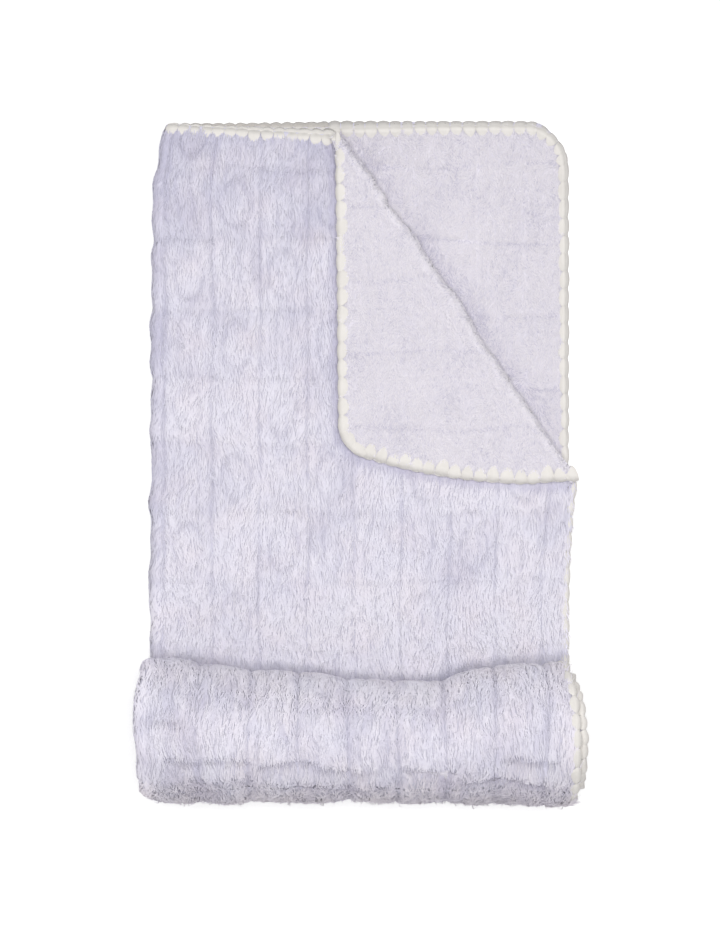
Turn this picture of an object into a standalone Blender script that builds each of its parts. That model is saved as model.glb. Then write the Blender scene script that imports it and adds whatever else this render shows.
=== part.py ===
"""A baby's comfort blanket: a long-pile plush and a smooth lining, whipstitched together round the edge.

It lies folded in half along its left side, with one top corner turned down and its foot rolled up.
Every panel is laid out flat first, as it was cut. Flat places are (across, along), where across is
counted from the fold, positive on the back half and negative on the front half, and along is counted
from the top edge. Heights in the cloth are counted from the plush's outer face.
"""
import math

import bmesh
import bpy
from mathutils import Matrix, Vector

# Blanket
BLANKET_WIDTH = 0.380
BLANKET_LENGTH = 0.510
HALF_OFFSET = 0.0015
CORNER_RADIUS = 0.0175
HEM_CORNER_RADIUS = 0.0052

# Cloth and the gap between pieces that touch
PLUSH_THICKNESS = 0.0026
LINING_THICKNESS = 0.0018
GAP = 0.0003

# Whipstitched edging, a channel that grips both cloths
EDGING_WIDTH = 0.0045
EDGING_ARM = 0.0009
EDGING_WEB = 0.0012

# Rolled foot
CORE_RADIUS = 0.0025
FIRST_BEND = math.radians(30)
STRIP_BEND = math.radians(60)
STRIP_COUNT = 12
STRIP_STEPS = 4

# Turned corner
CREASE_FROM_SIDE = 0.1095
CORNER_TO_ROLL = 0.0800
CORNER_LEAN = 0.0015
CORNER_LIFT = 0.0158
TURNED_CORNER_RADIUS = 0.0172
LOWER_EDGE_SLOPE = math.radians(15)
LOWER_EDGE_DIP = 0.0012
DIP_SHARE = 0.45
CREASE_END = 0.0095

# Steps of the curved parts
FOLD_STEPS = 6
ROUND_STEPS = 5
CURVE_STEPS = 6
CREASE_STEPS = 6

PLUSH_COLOUR = (0.68, 0.66, 0.76, 1.0)
LINING_COLOUR = (0.75, 0.71, 0.80, 1.0)
EDGING_COLOUR = (0.80, 0.76, 0.72, 1.0)
PLUSH_ROUGHNESS = 0.95
LINING_ROUGHNESS = 0.90
EDGING_ROUGHNESS = 0.85

# Derived sizes
CLOTH = PLUSH_THICKNESS + GAP + LINING_THICKNESS
LINING_START = PLUSH_THICKNESS + GAP
STACK = 2 * CLOTH + GAP
HALF_STACK = STACK / 2
HALF_GAP = GAP / 2
FOLD_REACH = math.pi / 2 * (HALF_STACK - LINING_START)
BACK_HALF = BLANKET_WIDTH / 2 - HALF_OFFSET
FRONT_HALF = BLANKET_WIDTH / 2 + HALF_OFFSET

LAST_BEND = FIRST_BEND + STRIP_COUNT * STRIP_BEND
PITCH = STACK + GAP
CLIMB = PITCH / math.tau
ROLL_RADIUS = CORE_RADIUS + STACK + CLIMB * LAST_BEND
NEUTRAL_RADIUS = ROLL_RADIUS - HALF_STACK
ROLLED_LENGTH = NEUTRAL_RADIUS * LAST_BEND - CLIMB * LAST_BEND**2 / 2
FLAT_LENGTH = BLANKET_LENGTH - ROLLED_LENGTH
ROLL_REACH = ROLL_RADIUS - CLIMB * math.pi / 2

FOLDED_WIDTH = HALF_STACK + FRONT_HALF - FOLD_REACH
FOLD_CENTRE_X = HALF_STACK - FOLDED_WIDTH / 2
TOP_Y = (FLAT_LENGTH + ROLL_REACH) / 2
ROLL_Y = TOP_Y - FLAT_LENGTH

FULL_INSET = EDGING_WIDTH + GAP
TONGUE_INSET = EDGING_WEB + GAP
TONGUE_STEP = EDGING_ARM + GAP
LINING_STEP = CLOTH - TONGUE_STEP
CREASE_DROP = FLAT_LENGTH - ROLL_RADIUS - CORNER_TO_ROLL
CREASE_HEIGHT = STACK + HALF_GAP
TURNED_FLOOR = STACK + GAP


def spiral_length(bend):
    """Length along the middle of the folded blanket from where the roll starts to this bend."""
    return NEUTRAL_RADIUS * bend - CLIMB * bend**2 / 2


def along_at(bend):
    """Distance from the top edge to this bend of the roll."""
    return FLAT_LENGTH + spiral_length(bend)


def bend_at(along):
    """The roll's bend at a distance from the top edge, zero on the flat part."""
    rest = max(0.0, along - FLAT_LENGTH)
    return (NEUTRAL_RADIUS - math.sqrt(NEUTRAL_RADIUS**2 - 2 * CLIMB * rest)) / CLIMB


def folded(across, height):
    """Where a flat place goes in the folded stack: its x and its height from the stack's underside."""
    if across >= FOLD_REACH:
        return FOLD_CENTRE_X + across - FOLD_REACH, height
    if across <= -FOLD_REACH:
        return FOLD_CENTRE_X - across - FOLD_REACH, STACK - height
    turn = across / FOLD_REACH * math.pi / 2
    radius = HALF_STACK - height
    return FOLD_CENTRE_X - radius * math.cos(turn), HALF_STACK - radius * math.sin(turn)


def rolled(x, along, level):
    """Where a place in the folded stack goes once the foot is rolled up over the front."""
    if along <= FLAT_LENGTH:
        return Vector((x, TOP_Y - along, level))
    bend = bend_at(along)
    radius = ROLL_RADIUS - CLIMB * bend - level
    return Vector((x, ROLL_Y - radius * math.sin(bend), ROLL_RADIUS - radius * math.cos(bend)))


def blanket_place(flat):
    x, level = folded(flat.x, flat.z)
    return rolled(x, flat.y, level)


def turned_place(flat):
    """The turned corner lies plush down on the front half, so its places are already x and y."""
    return Vector((flat.x, flat.y, TURNED_FLOOR + flat.z))


def left_of(direction):
    return Vector((-direction.y, direction.x))


def inset_path(points, inset):
    """An open path moved to its left by inset, with mitred bends."""
    runs = [(b - a).normalized() for a, b in zip(points, points[1:])]
    moved = []
    for index, point in enumerate(points):
        before = runs[max(index - 1, 0)]
        after = runs[min(index, len(runs) - 1)]
        mitre = (left_of(before) + left_of(after)).normalized()
        moved.append(point + mitre * inset / mitre.dot(left_of(after)))
    return moved


def slid_to_cut(end, neighbour, cut, distance):
    """The end of a path, slid along its last run until it lies at a distance inside the cut."""
    point, inward = cut
    run = (end - neighbour).normalized()
    return end + run * (distance - (end - point).dot(inward)) / run.dot(inward)


def trimmed_path(path, inset, distance):
    """A stitched edge moved inwards and trimmed at the cuts where it ends."""
    points, first_cut, last_cut = path
    moved = inset_path(points, inset)
    first = slid_to_cut(moved[0], moved[1], first_cut, distance)
    last = slid_to_cut(moved[-1], moved[-2], last_cut, distance)
    return [first] + moved[1:-1] + [last]


def rounded_corner(corner, arriving, leaving, radius):
    """The points of an arc that rounds a left-turning corner between two directions."""
    turn = arriving.angle(leaving)
    start = corner - arriving * radius * math.tan(turn / 2)
    centre = start + left_of(arriving) * radius
    return [
        centre + Matrix.Rotation(turn * step / ROUND_STEPS, 2) @ (start - centre)
        for step in range(ROUND_STEPS + 1)
    ]


def closed_loft(rings, capped_rings):
    """A closed mesh through rings of equal length, with a face over the first and the last of them.

    With capped_rings off, the rings close on each other round a section instead, and their ends are capped.
    """
    mesh = bmesh.new()
    rows = [[mesh.verts.new(place) for place in ring] for ring in rings]
    count = len(rows[0])
    if capped_rings:
        for lower, upper in zip(rows, rows[1:]):
            for index in range(count):
                after = (index + 1) % count
                mesh.faces.new((lower[index], lower[after], upper[after], upper[index]))
        mesh.faces.new(rows[0][::-1])
        mesh.faces.new(rows[-1])
    else:
        for lower, upper in zip(rows, rows[1:] + rows[:1]):
            for index in range(count - 1):
                mesh.faces.new((lower[index], lower[index + 1], upper[index + 1], upper[index]))
        mesh.faces.new([row[0] for row in rows])
        mesh.faces.new([row[-1] for row in rows[::-1]])
    return mesh


def lifted(points, height):
    return [Vector((point.x, point.y, height)) for point in points]


def panel_ring(paths, inset, distance):
    return [point for path in paths for point in trimmed_path(path, inset, distance)]


def cloth_solid(paths, levels):
    """A cloth panel: thick inside the edging, and a thin tongue where the edging grips it."""
    rings = []
    for in_tongue, height in levels:
        inset = TONGUE_INSET if in_tongue else FULL_INSET
        distance = HALF_GAP if in_tongue else HALF_GAP + GAP
        rings.append(lifted(panel_ring(paths, inset, distance), height))
    return closed_loft(rings, True)


def plush_solid(paths):
    levels = ((False, 0), (False, TONGUE_STEP), (True, TONGUE_STEP), (True, PLUSH_THICKNESS))
    return cloth_solid(paths, levels)


def lining_solid(paths):
    levels = ((True, LINING_START), (True, LINING_STEP), (False, LINING_STEP), (False, CLOTH))
    return cloth_solid(paths, levels)


def edging_solid(path):
    """The stitched edging: a channel carried along a stitched edge, open towards the cloth."""
    section = (
        (0, 0),
        (EDGING_WIDTH, 0),
        (EDGING_WIDTH, EDGING_ARM),
        (EDGING_WEB, EDGING_ARM),
        (EDGING_WEB, CLOTH - EDGING_ARM),
        (EDGING_WIDTH, CLOTH - EDGING_ARM),
        (EDGING_WIDTH, CLOTH),
        (0, CLOTH),
    )
    rings = [lifted(trimmed_path(path, inset, HALF_GAP), height) for inset, height in section]
    return closed_loft(rings, False)


def add_stations(mesh, axis, stations):
    """Cuts new edges across the mesh, so that it can bend there."""
    for station in stations:
        geometry = mesh.verts[:] + mesh.edges[:] + mesh.faces[:]
        place = Vector((0, 0, 0))
        place[axis] = station
        normal = Vector((0, 0, 0))
        normal[axis] = 1
        bmesh.ops.bisect_plane(mesh, geom=geometry, plane_co=place, plane_no=normal)


def fold_stations():
    return [FOLD_REACH * (2 * step / FOLD_STEPS - 1) for step in range(FOLD_STEPS + 1)]


def roll_stations(first_bend, last_bend, steps):
    share = (last_bend - first_bend) / steps
    return [along_at(first_bend + share * step) for step in range(steps) if first_bend + share * step >= 0]


def finish(name, mesh, place, carrier, colour, roughness):
    """Bends a flat mesh into place and makes it an object whose origin is on its carrier."""
    for vertex in mesh.verts:
        vertex.co = place(vertex.co) - carrier["origin"]
    if mesh.calc_volume(signed=True) < 0:
        bmesh.ops.reverse_faces(mesh, faces=mesh.faces[:])
    data = bpy.data.meshes.new(name)
    mesh.to_mesh(data)
    mesh.free()
    item = bpy.data.objects.new(name, data)
    item.parent = carrier["empty"]
    bpy.context.scene.collection.objects.link(item)
    material = bpy.data.materials.new(name)
    material.use_nodes = True
    shader = material.node_tree.nodes["Principled BSDF"]
    shader.inputs["Base Color"].default_value = colour
    shader.inputs["Roughness"].default_value = roughness
    shader.inputs["Metallic"].default_value = 0
    data.materials.append(material)


def add_carrier(name, origin, parent):
    """An empty on a hinge line, which the pieces of one moving body hang from."""
    empty = bpy.data.objects.new(name, None)
    empty.location = origin - (parent["origin"] if parent else Vector((0, 0, 0)))
    empty.parent = parent["empty"] if parent else None
    bpy.context.scene.collection.objects.link(empty)
    return {"empty": empty, "origin": origin}


def add_layers(prefix, number, paths, place, carrier, across_stations, along_stations):
    """The plush, the lining and the edging of one rigid stretch of the blanket.

    paths has a name for each stitched edge, and each gets an edging of that name.
    """
    edges = list(paths.values())
    layers = [
        ("plush", plush_solid(edges), PLUSH_COLOUR, PLUSH_ROUGHNESS),
        ("lining", lining_solid(edges), LINING_COLOUR, LINING_ROUGHNESS),
    ]
    for edge, path in paths.items():
        layers.append((edge, edging_solid(path), EDGING_COLOUR, EDGING_ROUGHNESS))
    for layer, mesh, colour, roughness in layers:
        add_stations(mesh, 0, across_stations)
        add_stations(mesh, 1, along_stations)
        finish(prefix + "_" + layer + number, mesh, place, carrier, colour, roughness)


def crease_ends():
    """The crease's two ends in x and y: on the top edge and on the right edge."""
    right_x = FOLD_CENTRE_X + FRONT_HALF - FOLD_REACH
    top = Vector((right_x - CREASE_FROM_SIDE, TOP_Y))
    side = Vector((right_x, TOP_Y - CREASE_DROP))
    return top, side


def flat_front(point):
    """The flat place of a point of the front half, given by its x and y."""
    return Vector((FOLD_CENTRE_X - FOLD_REACH - point.x, TOP_Y - point.y))


def add_laid_blanket(carrier):
    """The flat part, up to the roll's first hinge, with the turned corner missing along its crease."""
    crease_top, crease_side = [flat_front(end) for end in crease_ends()]
    crease_cut = (crease_top, left_of((crease_top - crease_side).normalized()))
    roll_start = along_at(FIRST_BEND)
    roll_cut = (Vector((0, roll_start)), Vector((0, -1)))
    across, down = Vector((1, 0)), Vector((0, 1))
    back_corner = rounded_corner(Vector((BACK_HALF, 0)), across, down, CORNER_RADIUS)
    long_edge = [crease_top] + back_corner + [Vector((BACK_HALF, roll_start))]
    short_edge = [Vector((-FRONT_HALF, roll_start)), crease_side]
    paths = {
        "back_edging": (long_edge, crease_cut, roll_cut),
        "front_edging": (short_edge, roll_cut, crease_cut),
    }
    stations = roll_stations(0, FIRST_BEND, STRIP_STEPS // 2)
    add_layers("laid", "", paths, blanket_place, carrier, fold_stations(), stations)


def add_turned_corner(carrier):
    """The turned corner, lining up, with its stitched edges on its left and along its bottom."""
    top, side = crease_ends()
    crease_cut = (top, left_of((top - side).normalized()))
    corner = Vector((top.x + CORNER_LEAN, side.y + CORNER_LIFT))
    downwards = (corner - top).normalized()
    leaving = Vector((math.cos(LOWER_EDGE_SLOPE), -math.sin(LOWER_EDGE_SLOPE)))
    corner_arc = rounded_corner(corner, downwards, leaving, TURNED_CORNER_RADIUS)
    start = corner_arc[-1]
    middle = Vector((start.x + (side.x - start.x) * DIP_SHARE, side.y - LOWER_EDGE_DIP))
    lower_edge = [
        start * (1 - t) ** 2 + middle * 2 * t * (1 - t) + side * t**2
        for t in [step / CURVE_STEPS for step in range(1, CURVE_STEPS + 1)]
    ]
    paths = {"edging": ([top] + corner_arc + lower_edge, crease_cut, crease_cut)}
    add_layers("corner", "", paths, turned_place, carrier, (), ())


def add_crease(carrier):
    """The half-round bend of both cloths along the crease, round the hinge line."""
    top, side = crease_ends()
    line = (side - top).normalized()
    outward = left_of(line)
    sleeves = (
        ("crease_plush", HALF_GAP, HALF_GAP + PLUSH_THICKNESS, PLUSH_COLOUR, PLUSH_ROUGHNESS),
        ("crease_lining", HALF_GAP + LINING_START, HALF_GAP + CLOTH, LINING_COLOUR, LINING_ROUGHNESS),
    )
    for name, inner, outer, colour, roughness in sleeves:
        section = []
        for step in range(CREASE_STEPS + 1):
            turn = math.pi * step / CREASE_STEPS - math.pi / 2
            section.append((outer * math.cos(turn), outer * math.sin(turn)))
        for step in range(CREASE_STEPS, -1, -1):
            turn = math.pi * step / CREASE_STEPS - math.pi / 2
            section.append((inner * math.cos(turn), inner * math.sin(turn)))
        rings = []
        for end in (top + line * CREASE_END, side - line * CREASE_END):
            places = [end + outward * (HALF_GAP + reach) for reach, rise in section]
            rings.append([
                Vector((place.x, place.y, CREASE_HEIGHT + rise))
                for place, (reach, rise) in zip(places, section)
            ])
        finish(name, closed_loft(rings, True), Vector, carrier, colour, roughness)


def hinge_place(bend):
    """A roll hinge lies in the outer face of the plush, midway between two strips."""
    radius = ROLL_RADIUS - CLIMB * bend
    return Vector((0, ROLL_Y - radius * math.sin(bend), ROLL_RADIUS - radius * math.cos(bend)))


def add_rolled_foot(carrier):
    """The rolled foot, as a chain of strips hinged to each other, the last with the stitched hem."""
    for number in range(1, STRIP_COUNT + 1):
        first_bend = FIRST_BEND + (number - 1) * STRIP_BEND
        last_bend = first_bend + STRIP_BEND
        start, end = along_at(first_bend), along_at(last_bend)
        carrier = add_carrier("roll_hinge_%02d" % number, hinge_place(first_bend), carrier)
        start_cut = (Vector((0, start)), Vector((0, 1)))
        end_cut = (Vector((0, end)), Vector((0, -1)))
        back_edge = [Vector((BACK_HALF, start)), Vector((BACK_HALF, end))]
        front_edge = [Vector((-FRONT_HALF, end)), Vector((-FRONT_HALF, start))]
        paths = {
            "back_edging": (back_edge, start_cut, end_cut),
            "front_edging": (front_edge, end_cut, start_cut),
        }
        if number == STRIP_COUNT:
            paths = {"hem_edging": (hem_path(start, end), start_cut, start_cut)}
        stations = roll_stations(first_bend, last_bend, STRIP_STEPS)[1:]
        ending = "_%02d" % number
        add_layers("roll", ending, paths, blanket_place, carrier, fold_stations(), stations)


def hem_path(start, end):
    """The stitched edge of the last strip: down the back half's side, along the hem and up again."""
    down, back, up = Vector((0, 1)), Vector((-1, 0)), Vector((0, -1))
    first = rounded_corner(Vector((BACK_HALF, end)), down, back, HEM_CORNER_RADIUS)
    second = rounded_corner(Vector((-FRONT_HALF, end)), back, up, HEM_CORNER_RADIUS)
    return [Vector((BACK_HALF, start))] + first + second + [Vector((-FRONT_HALF, start))]


def build():
    for item in list(bpy.data.objects):
        bpy.data.objects.remove(item)
    blanket = add_carrier("blanket_origin", Vector((0, 0, 0)), None)
    add_laid_blanket(blanket)
    top, side = crease_ends()
    crease_middle = (top + side) / 2
    crease_origin = Vector((crease_middle.x, crease_middle.y, CREASE_HEIGHT))
    add_crease(add_carrier("crease_line", crease_origin, blanket))
    add_turned_corner(add_carrier("corner_hinge", crease_origin, blanket))
    add_rolled_foot(blanket)


build()
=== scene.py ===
"""Looks of a baby's comfort blanket: a long-pile plush and a smooth lining, whipstitched round the edge.

It lies folded in half along its left side, with one top corner turned down and its foot rolled up.
Every piece is worked out on the blanket laid flat, as it was cut, and is then folded and rolled into
place. Flat places are (across, along, height): across is counted from the fold, positive on the back
half and negative on the front half, along from the top edge, and height from the plush's outer face,
positive into the cloth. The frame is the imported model, in metres.
"""

import math

import bpy
import numpy as np
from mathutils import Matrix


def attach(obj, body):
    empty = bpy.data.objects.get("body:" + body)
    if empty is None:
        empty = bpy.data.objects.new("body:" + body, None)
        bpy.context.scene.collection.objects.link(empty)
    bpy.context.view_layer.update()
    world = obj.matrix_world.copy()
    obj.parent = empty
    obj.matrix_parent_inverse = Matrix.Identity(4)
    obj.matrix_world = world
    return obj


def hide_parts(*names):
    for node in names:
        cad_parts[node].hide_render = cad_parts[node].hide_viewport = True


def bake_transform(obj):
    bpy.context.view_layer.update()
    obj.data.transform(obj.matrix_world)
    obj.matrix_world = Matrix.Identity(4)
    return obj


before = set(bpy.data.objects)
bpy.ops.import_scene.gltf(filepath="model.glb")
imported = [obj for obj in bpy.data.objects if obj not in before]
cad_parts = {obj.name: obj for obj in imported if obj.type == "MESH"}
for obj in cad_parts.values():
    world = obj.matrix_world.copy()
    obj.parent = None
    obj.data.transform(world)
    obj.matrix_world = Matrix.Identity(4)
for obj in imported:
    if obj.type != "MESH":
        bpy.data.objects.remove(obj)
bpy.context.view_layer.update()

MM = 0.001

# Blanket, cut sizes and cloth thicknesses, as the frame was built
BLANKET_WIDTH = 0.380
BLANKET_LENGTH = 0.510
HALF_OFFSET = 1.5 * MM
CORNER_RADIUS = 17.5 * MM
HEM_CORNER_RADIUS = 5.2 * MM
PLUSH_THICKNESS = 2.6 * MM
LINING_THICKNESS = 1.8 * MM
GAP = 0.3 * MM
CORE_RADIUS = 2.5 * MM
FIRST_BEND = math.radians(30)
STRIP_BEND = math.radians(60)
STRIP_COUNT = 12
CREASE_FROM_SIDE = 109.5 * MM
CORNER_TO_ROLL = 80.0 * MM
CORNER_LEAN = 1.5 * MM
CORNER_LIFT = 15.8 * MM
TURNED_CORNER_RADIUS = 17.2 * MM
LOWER_EDGE_SLOPE = math.radians(15)
LOWER_EDGE_DIP = 1.2 * MM
DIP_SHARE = 0.45

# Sizes worked out from them
CLOTH = PLUSH_THICKNESS + GAP + LINING_THICKNESS
LINING_START = PLUSH_THICKNESS + GAP
STACK = 2 * CLOTH + GAP
HALF_STACK = STACK / 2
HALF_GAP = GAP / 2
FOLD_REACH = math.pi / 2 * (HALF_STACK - LINING_START)
BACK_HALF = BLANKET_WIDTH / 2 - HALF_OFFSET
FRONT_HALF = BLANKET_WIDTH / 2 + HALF_OFFSET
LAST_BEND = FIRST_BEND + STRIP_COUNT * STRIP_BEND
CLIMB = (STACK + GAP) / math.tau
ROLL_RADIUS = CORE_RADIUS + STACK + CLIMB * LAST_BEND
NEUTRAL_RADIUS = ROLL_RADIUS - HALF_STACK
ROLLED_LENGTH = NEUTRAL_RADIUS * LAST_BEND - CLIMB * LAST_BEND**2 / 2
FLAT_LENGTH = BLANKET_LENGTH - ROLLED_LENGTH
ROLL_REACH = ROLL_RADIUS - CLIMB * math.pi / 2
FOLDED_WIDTH = HALF_STACK + FRONT_HALF - FOLD_REACH
FOLD_CENTRE_X = HALF_STACK - FOLDED_WIDTH / 2
TOP_Y = (FLAT_LENGTH + ROLL_REACH) / 2
ROLL_Y = TOP_Y - FLAT_LENGTH
LEFT_X = FOLD_CENTRE_X - HALF_STACK
RIGHT_X = FOLD_CENTRE_X + FRONT_HALF - FOLD_REACH
CREASE_DROP = FLAT_LENGTH - ROLL_RADIUS - CORNER_TO_ROLL
CREASE_HEIGHT = STACK + HALF_GAP
TURNED_FLOOR = STACK + GAP
CREASE_TOP = np.array([RIGHT_X - CREASE_FROM_SIDE, TOP_Y])
CREASE_SIDE = np.array([RIGHT_X, TOP_Y - CREASE_DROP])
CREASE_LENGTH = float(np.linalg.norm(CREASE_SIDE - CREASE_TOP))
CREASE_LINE = (CREASE_SIDE - CREASE_TOP) / CREASE_LENGTH
CREASE_OUT = np.array([-CREASE_LINE[1], CREASE_LINE[0]])
CREASE_STRIP = 5.0 * MM
CREASE_ARC = math.pi * (HALF_GAP + PLUSH_THICKNESS)
CREASE_WIDTH = 2 * CREASE_STRIP + CREASE_ARC

# How the real cloth has settled, away from the straight lines of the frame
SHOULDER_INSET = 6.8 * MM
SHOULDER_FADE = 18 * MM
FOLD_SWELL = 1.9 * MM
FOLD_WAVE = 0.5 * MM
LONG_WAVE = 0.037
SHORT_WAVE = 0.0165
SHORT_WAVE_SHARE = 0.7
FOLD_EASE = 0.5 * MM
FOLD_EASE_ALONG = (0.150, 0.200)
SIDE_FADE = 32 * MM
TOP_FADE = 42 * MM
TOP_RISE = 3.4 * MM
BACK_TOP_RISE = 5.6 * MM
CREASE_DIP = 2.6 * MM
CREASE_FLATNESS = 0.80
CREASE_SHIFT = 2.6 * MM
CREASE_BOW = 1.8 * MM
FLAP_SIDE_SHIFT = 0.3 * MM
FLAP_SIDE_BELOW = (12 * MM, 45 * MM)
FLAP_SIDE_ACROSS = (4 * MM, 40 * MM)
FLAP_FOOT_SHIFT = 1.6 * MM
FLAP_FOOT_BELOW = (CREASE_DROP - 60 * MM, CREASE_DROP - 25 * MM)
FLAP_FOOT_DEPTHS = (6 * MM, 22 * MM)
CREASE_WAVE = 0.8 * MM
CREASE_SHORT_SHARE = 0.8
CREASE_TUCK = 1.2 * MM
CREASE_TUCK_DEPTH = 0.25 * MM
CREASE_TOP_FADE = 0.060
BACK_SIDE_SWELL = 3.6 * MM
BACK_SIDE_ALONG = (0.150, 0.220)
CREASE_SIDE_SWELL = 4.0 * MM
CREASE_SIDE_FADE = 0.022
FRONT_SIDE_INSET = 0.2 * MM
FRONT_SIDE_FADE = 0.060
# Places across the roll, and how far its upper side lies from the frame's there
ROLL_TOP_AT = (
    -0.110, -0.097, -0.0784, -0.0739, -0.0547, -0.0264, 0.0014, 0.0333, 0.0433, 0.0543, 0.0807, 0.110
)
ROLL_TOP_SHIFT = (
    0.0082, 0.0080, 0.0076, 0.0055, 0.0026, 0.0007, -0.0025, -0.0038, 0.0005, 0.0026, 0.0055, 0.0060
)
ROLL_TOP_BLUR = 4 * MM
LIP_BEND = math.radians(228)
LIP_WIDTH = math.radians(13)
LIP_DEPTH = 2.6 * MM
LIP_FROM = -72 * MM
LIP_TO = 40 * MM
LIP_FADE = 8 * MM
ROLL_FOLD_EDGE = 0.9 * MM
ROLL_FOLD_SLOPE = 4.0 * MM
ROLL_FOLD_LINE = 0.9 * MM
ROLL_FOLD_BOW = 1.6 * MM
ROLL_LUMPS = 1.2 * MM
LUMP_STRETCH = 1.6
LUMPS_START = (0.6, 1.4)
LUMPS_END = (4.2, 5.0)
# Bend in degrees, middle across, half length and depth of each soft fold that runs along the roll
ROLL_FOLDS = (
    (184, -0.087, 0.012, 2.0 * MM),
    (151, -0.079, 0.010, 1.8 * MM),
    (154, -0.060, 0.013, 2.4 * MM),
    (150, -0.033, 0.017, 2.6 * MM),
    (144, -0.010, 0.015, 2.2 * MM),
    (146, 0.030, 0.015, 2.6 * MM),
    (151, 0.074, 0.015, 2.4 * MM),
    (130, 0.062, 0.020, 2.2 * MM),
    (123, -0.012, 0.026, 2.2 * MM),
    (119, -0.078, 0.018, 2.2 * MM),
)
ROLL_TIP = 2.6 * MM
ROLL_TIP_AT = 88 * MM
ROLL_TIP_WIDTH = 13 * MM
ROLL_TIP_DEPTH = 0.45
FULL_SLACK = 0.0050
LEAST_SLACK = -0.3
ROLL_SINK = 5 * MM
ROLL_BARREL_LEFT = 2.6 * MM
ROLL_BARREL_RIGHT = 4.6 * MM
ROLL_END_DRAW = 5.0 * MM
ROLL_DRAW_BENDS = (0.9 * math.pi, 1.6 * math.pi)
ROLL_END_SPREAD = 2 * MM
ROLL_SPREAD_BENDS = (math.pi * 1.2, math.tau)
ROLL_SAG = 1.0 * MM
ROLL_SAG_DEPTH = 0.4
ROLL_LEAD = 85 * MM
ROLL_LEAD_SHARE = 0.5
CREASE_PUFF = 2.1 * MM
CREASE_PUFF_REACH = 10 * MM
CREASE_PUFF_HEIGHTS = (STACK - 1 * MM, STACK + 3 * MM)
BACK_CORNER_PULL = 2.0 * MM
BACK_CORNER_REACH = 11 * MM
FLOOR_SOFTNESS = 0.3 * MM

# Random fields, each as its wavelength in metres and its seed
COLUMN_FIELD = (0.070, 11)
ROW_FIELD = (0.110, 12)
STREAK_FIELD = (0.05, 13)
FADE_FIELD = (0.050, 14)
SWELL_FIELD = (0.028, 15)
FINE_PATCH_FIELD = (0.024, 16)
BROAD_PATCH_FIELD = (0.065, 17)
PARTING_FIELD = (0.008, 18)
PARTING_AREA_FIELD = (0.012, 19)
BROAD_HEADING_FIELD = (0.045, 21)
FINE_HEADING_FIELD = (0.0075, 22)
TUFT_COLUMN_FIELD = (0.012, 23)
TUFT_ROW_FIELD = (0.009, 24)
WARMTH_FIELD = (0.020, 25)
LINING_ROW_FIELD = (0.060, 41)
LINING_LINE_FIELD = (0.045, 42)
LINING_SWELL_FIELD = (0.013, 43)
FUZZ_HEADING_FIELD = (0.014, 51)
FINE_FUZZ_FIELD = (0.0065, 52)
BROAD_FUZZ_FIELD = (0.030, 53)
LIP_FIELD = (0.030, 71)
ROLL_FOLD_FIELD = (0.030, 72)
LUMP_FIELD = (0.034, 73)
CREASE_LONG_FIELD = (0.030, 74)
CREASE_SHORT_FIELD = (0.011, 75)

# Embossed blocks of the plush
COLUMN_PITCH = 21.8 * MM
COLUMN_START = -4.2 * MM
COLUMN_BOW = 1.2 * MM
ROW_PITCH = 31.8 * MM
ROW_START = 20.1 * MM
ROW_BOW = 2.4 * MM
ROW_WIDENING = 1.3
RING_HALF_WIDTH = 6.6 * MM
RING_HALF_LENGTH = 10.5 * MM
RING_REACH = 8 * MM
STREAK_ACROSS = (1.2, 1.5)
STREAK_ALONG = (1.2, 1.45)
PLUSH_SWELL = 0.50 * MM
BLOCKS_ON_ROLL = (FLAT_LENGTH + 12 * MM, FLAT_LENGTH + 30 * MM)
BLOCKS_PAST_FOLD = 12 * MM
COLUMN_GROOVE = 1.1 * MM
ROW_GROOVE = 0.80 * MM
RING_GROOVE = 0.90 * MM
STREAK_GROOVE = 0.45 * MM
BLOCK_STEP = 0.18 * MM
GROOVE_WIDTH = 2.2 * MM
GROOVE_LINE = 0.75 * MM
GROOVE_WIDTH_SHARE = 0.45
GROOVE_LINE_SHARE = 0.55
COLUMN_VALLEY_WIDTH = 1.5 * GROOVE_WIDTH
ROW_VALLEY_WIDTH = 1.7 * GROOVE_WIDTH
ROLL_GROOVE = 0.60
FOLD_GROOVE = 1.3 * MM
ROLL_COLUMN_SHIFT = 5.5 * MM
# Painted shade in the emboss grooves: how much darker the pile is painted there
GROOVE_PAINTED_SHADE = 0.25
PARTING_DEPTH = 0.30 * MM
PARTING_STRETCH = 0.30
PARTING_WIDTH = 0.07
# Painted shade along the partings of the pile
PARTING_PAINTED_SHADE = 0.16
BLOCK_TONE = 0.08
FINE_PATCH_TONE = 0.08
BROAD_PATCH_TONE = 0.11

# Cloth skins
EDGE_INSET = 1.0 * MM
SKIN_DEPTH = 0.42 * MM
FINE_GRID = 1.7 * MM
COARSE_GRID = 3.4 * MM
LINING_GRID = 2.4 * MM
HIDDEN_GRID = 5.0 * MM
FOLD_STEPS = 9
CREASE_STEPS = 12

# Lining's face, its lines and its fuzz
LINING_FACE = CLOTH - 0.4 * MM
LINING_ROW_PITCH = 34.0 * MM
LINING_ROW_START = 19.0 * MM
LINING_ROW_BOW = 1.5 * MM
LINING_SWELL = 0.30 * MM
LINING_PRINT_SHARE = 0.45
LINING_LINE = 0.32 * MM
LINING_LINE_WIDTH = 0.8 * MM
PRINT_SHIFT = 17.0 * MM
VALLEY_DEPTH = 0.6 * MM
VALLEY_WIDTH = 6.4 * MM
VALLEY_START = 3 * MM
VALLEY_RISE = (2 * MM, 6 * MM)
VALLEY_TOP = (-4 * MM, 20 * MM)
VALLEY_FOOT = 30 * MM
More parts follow.
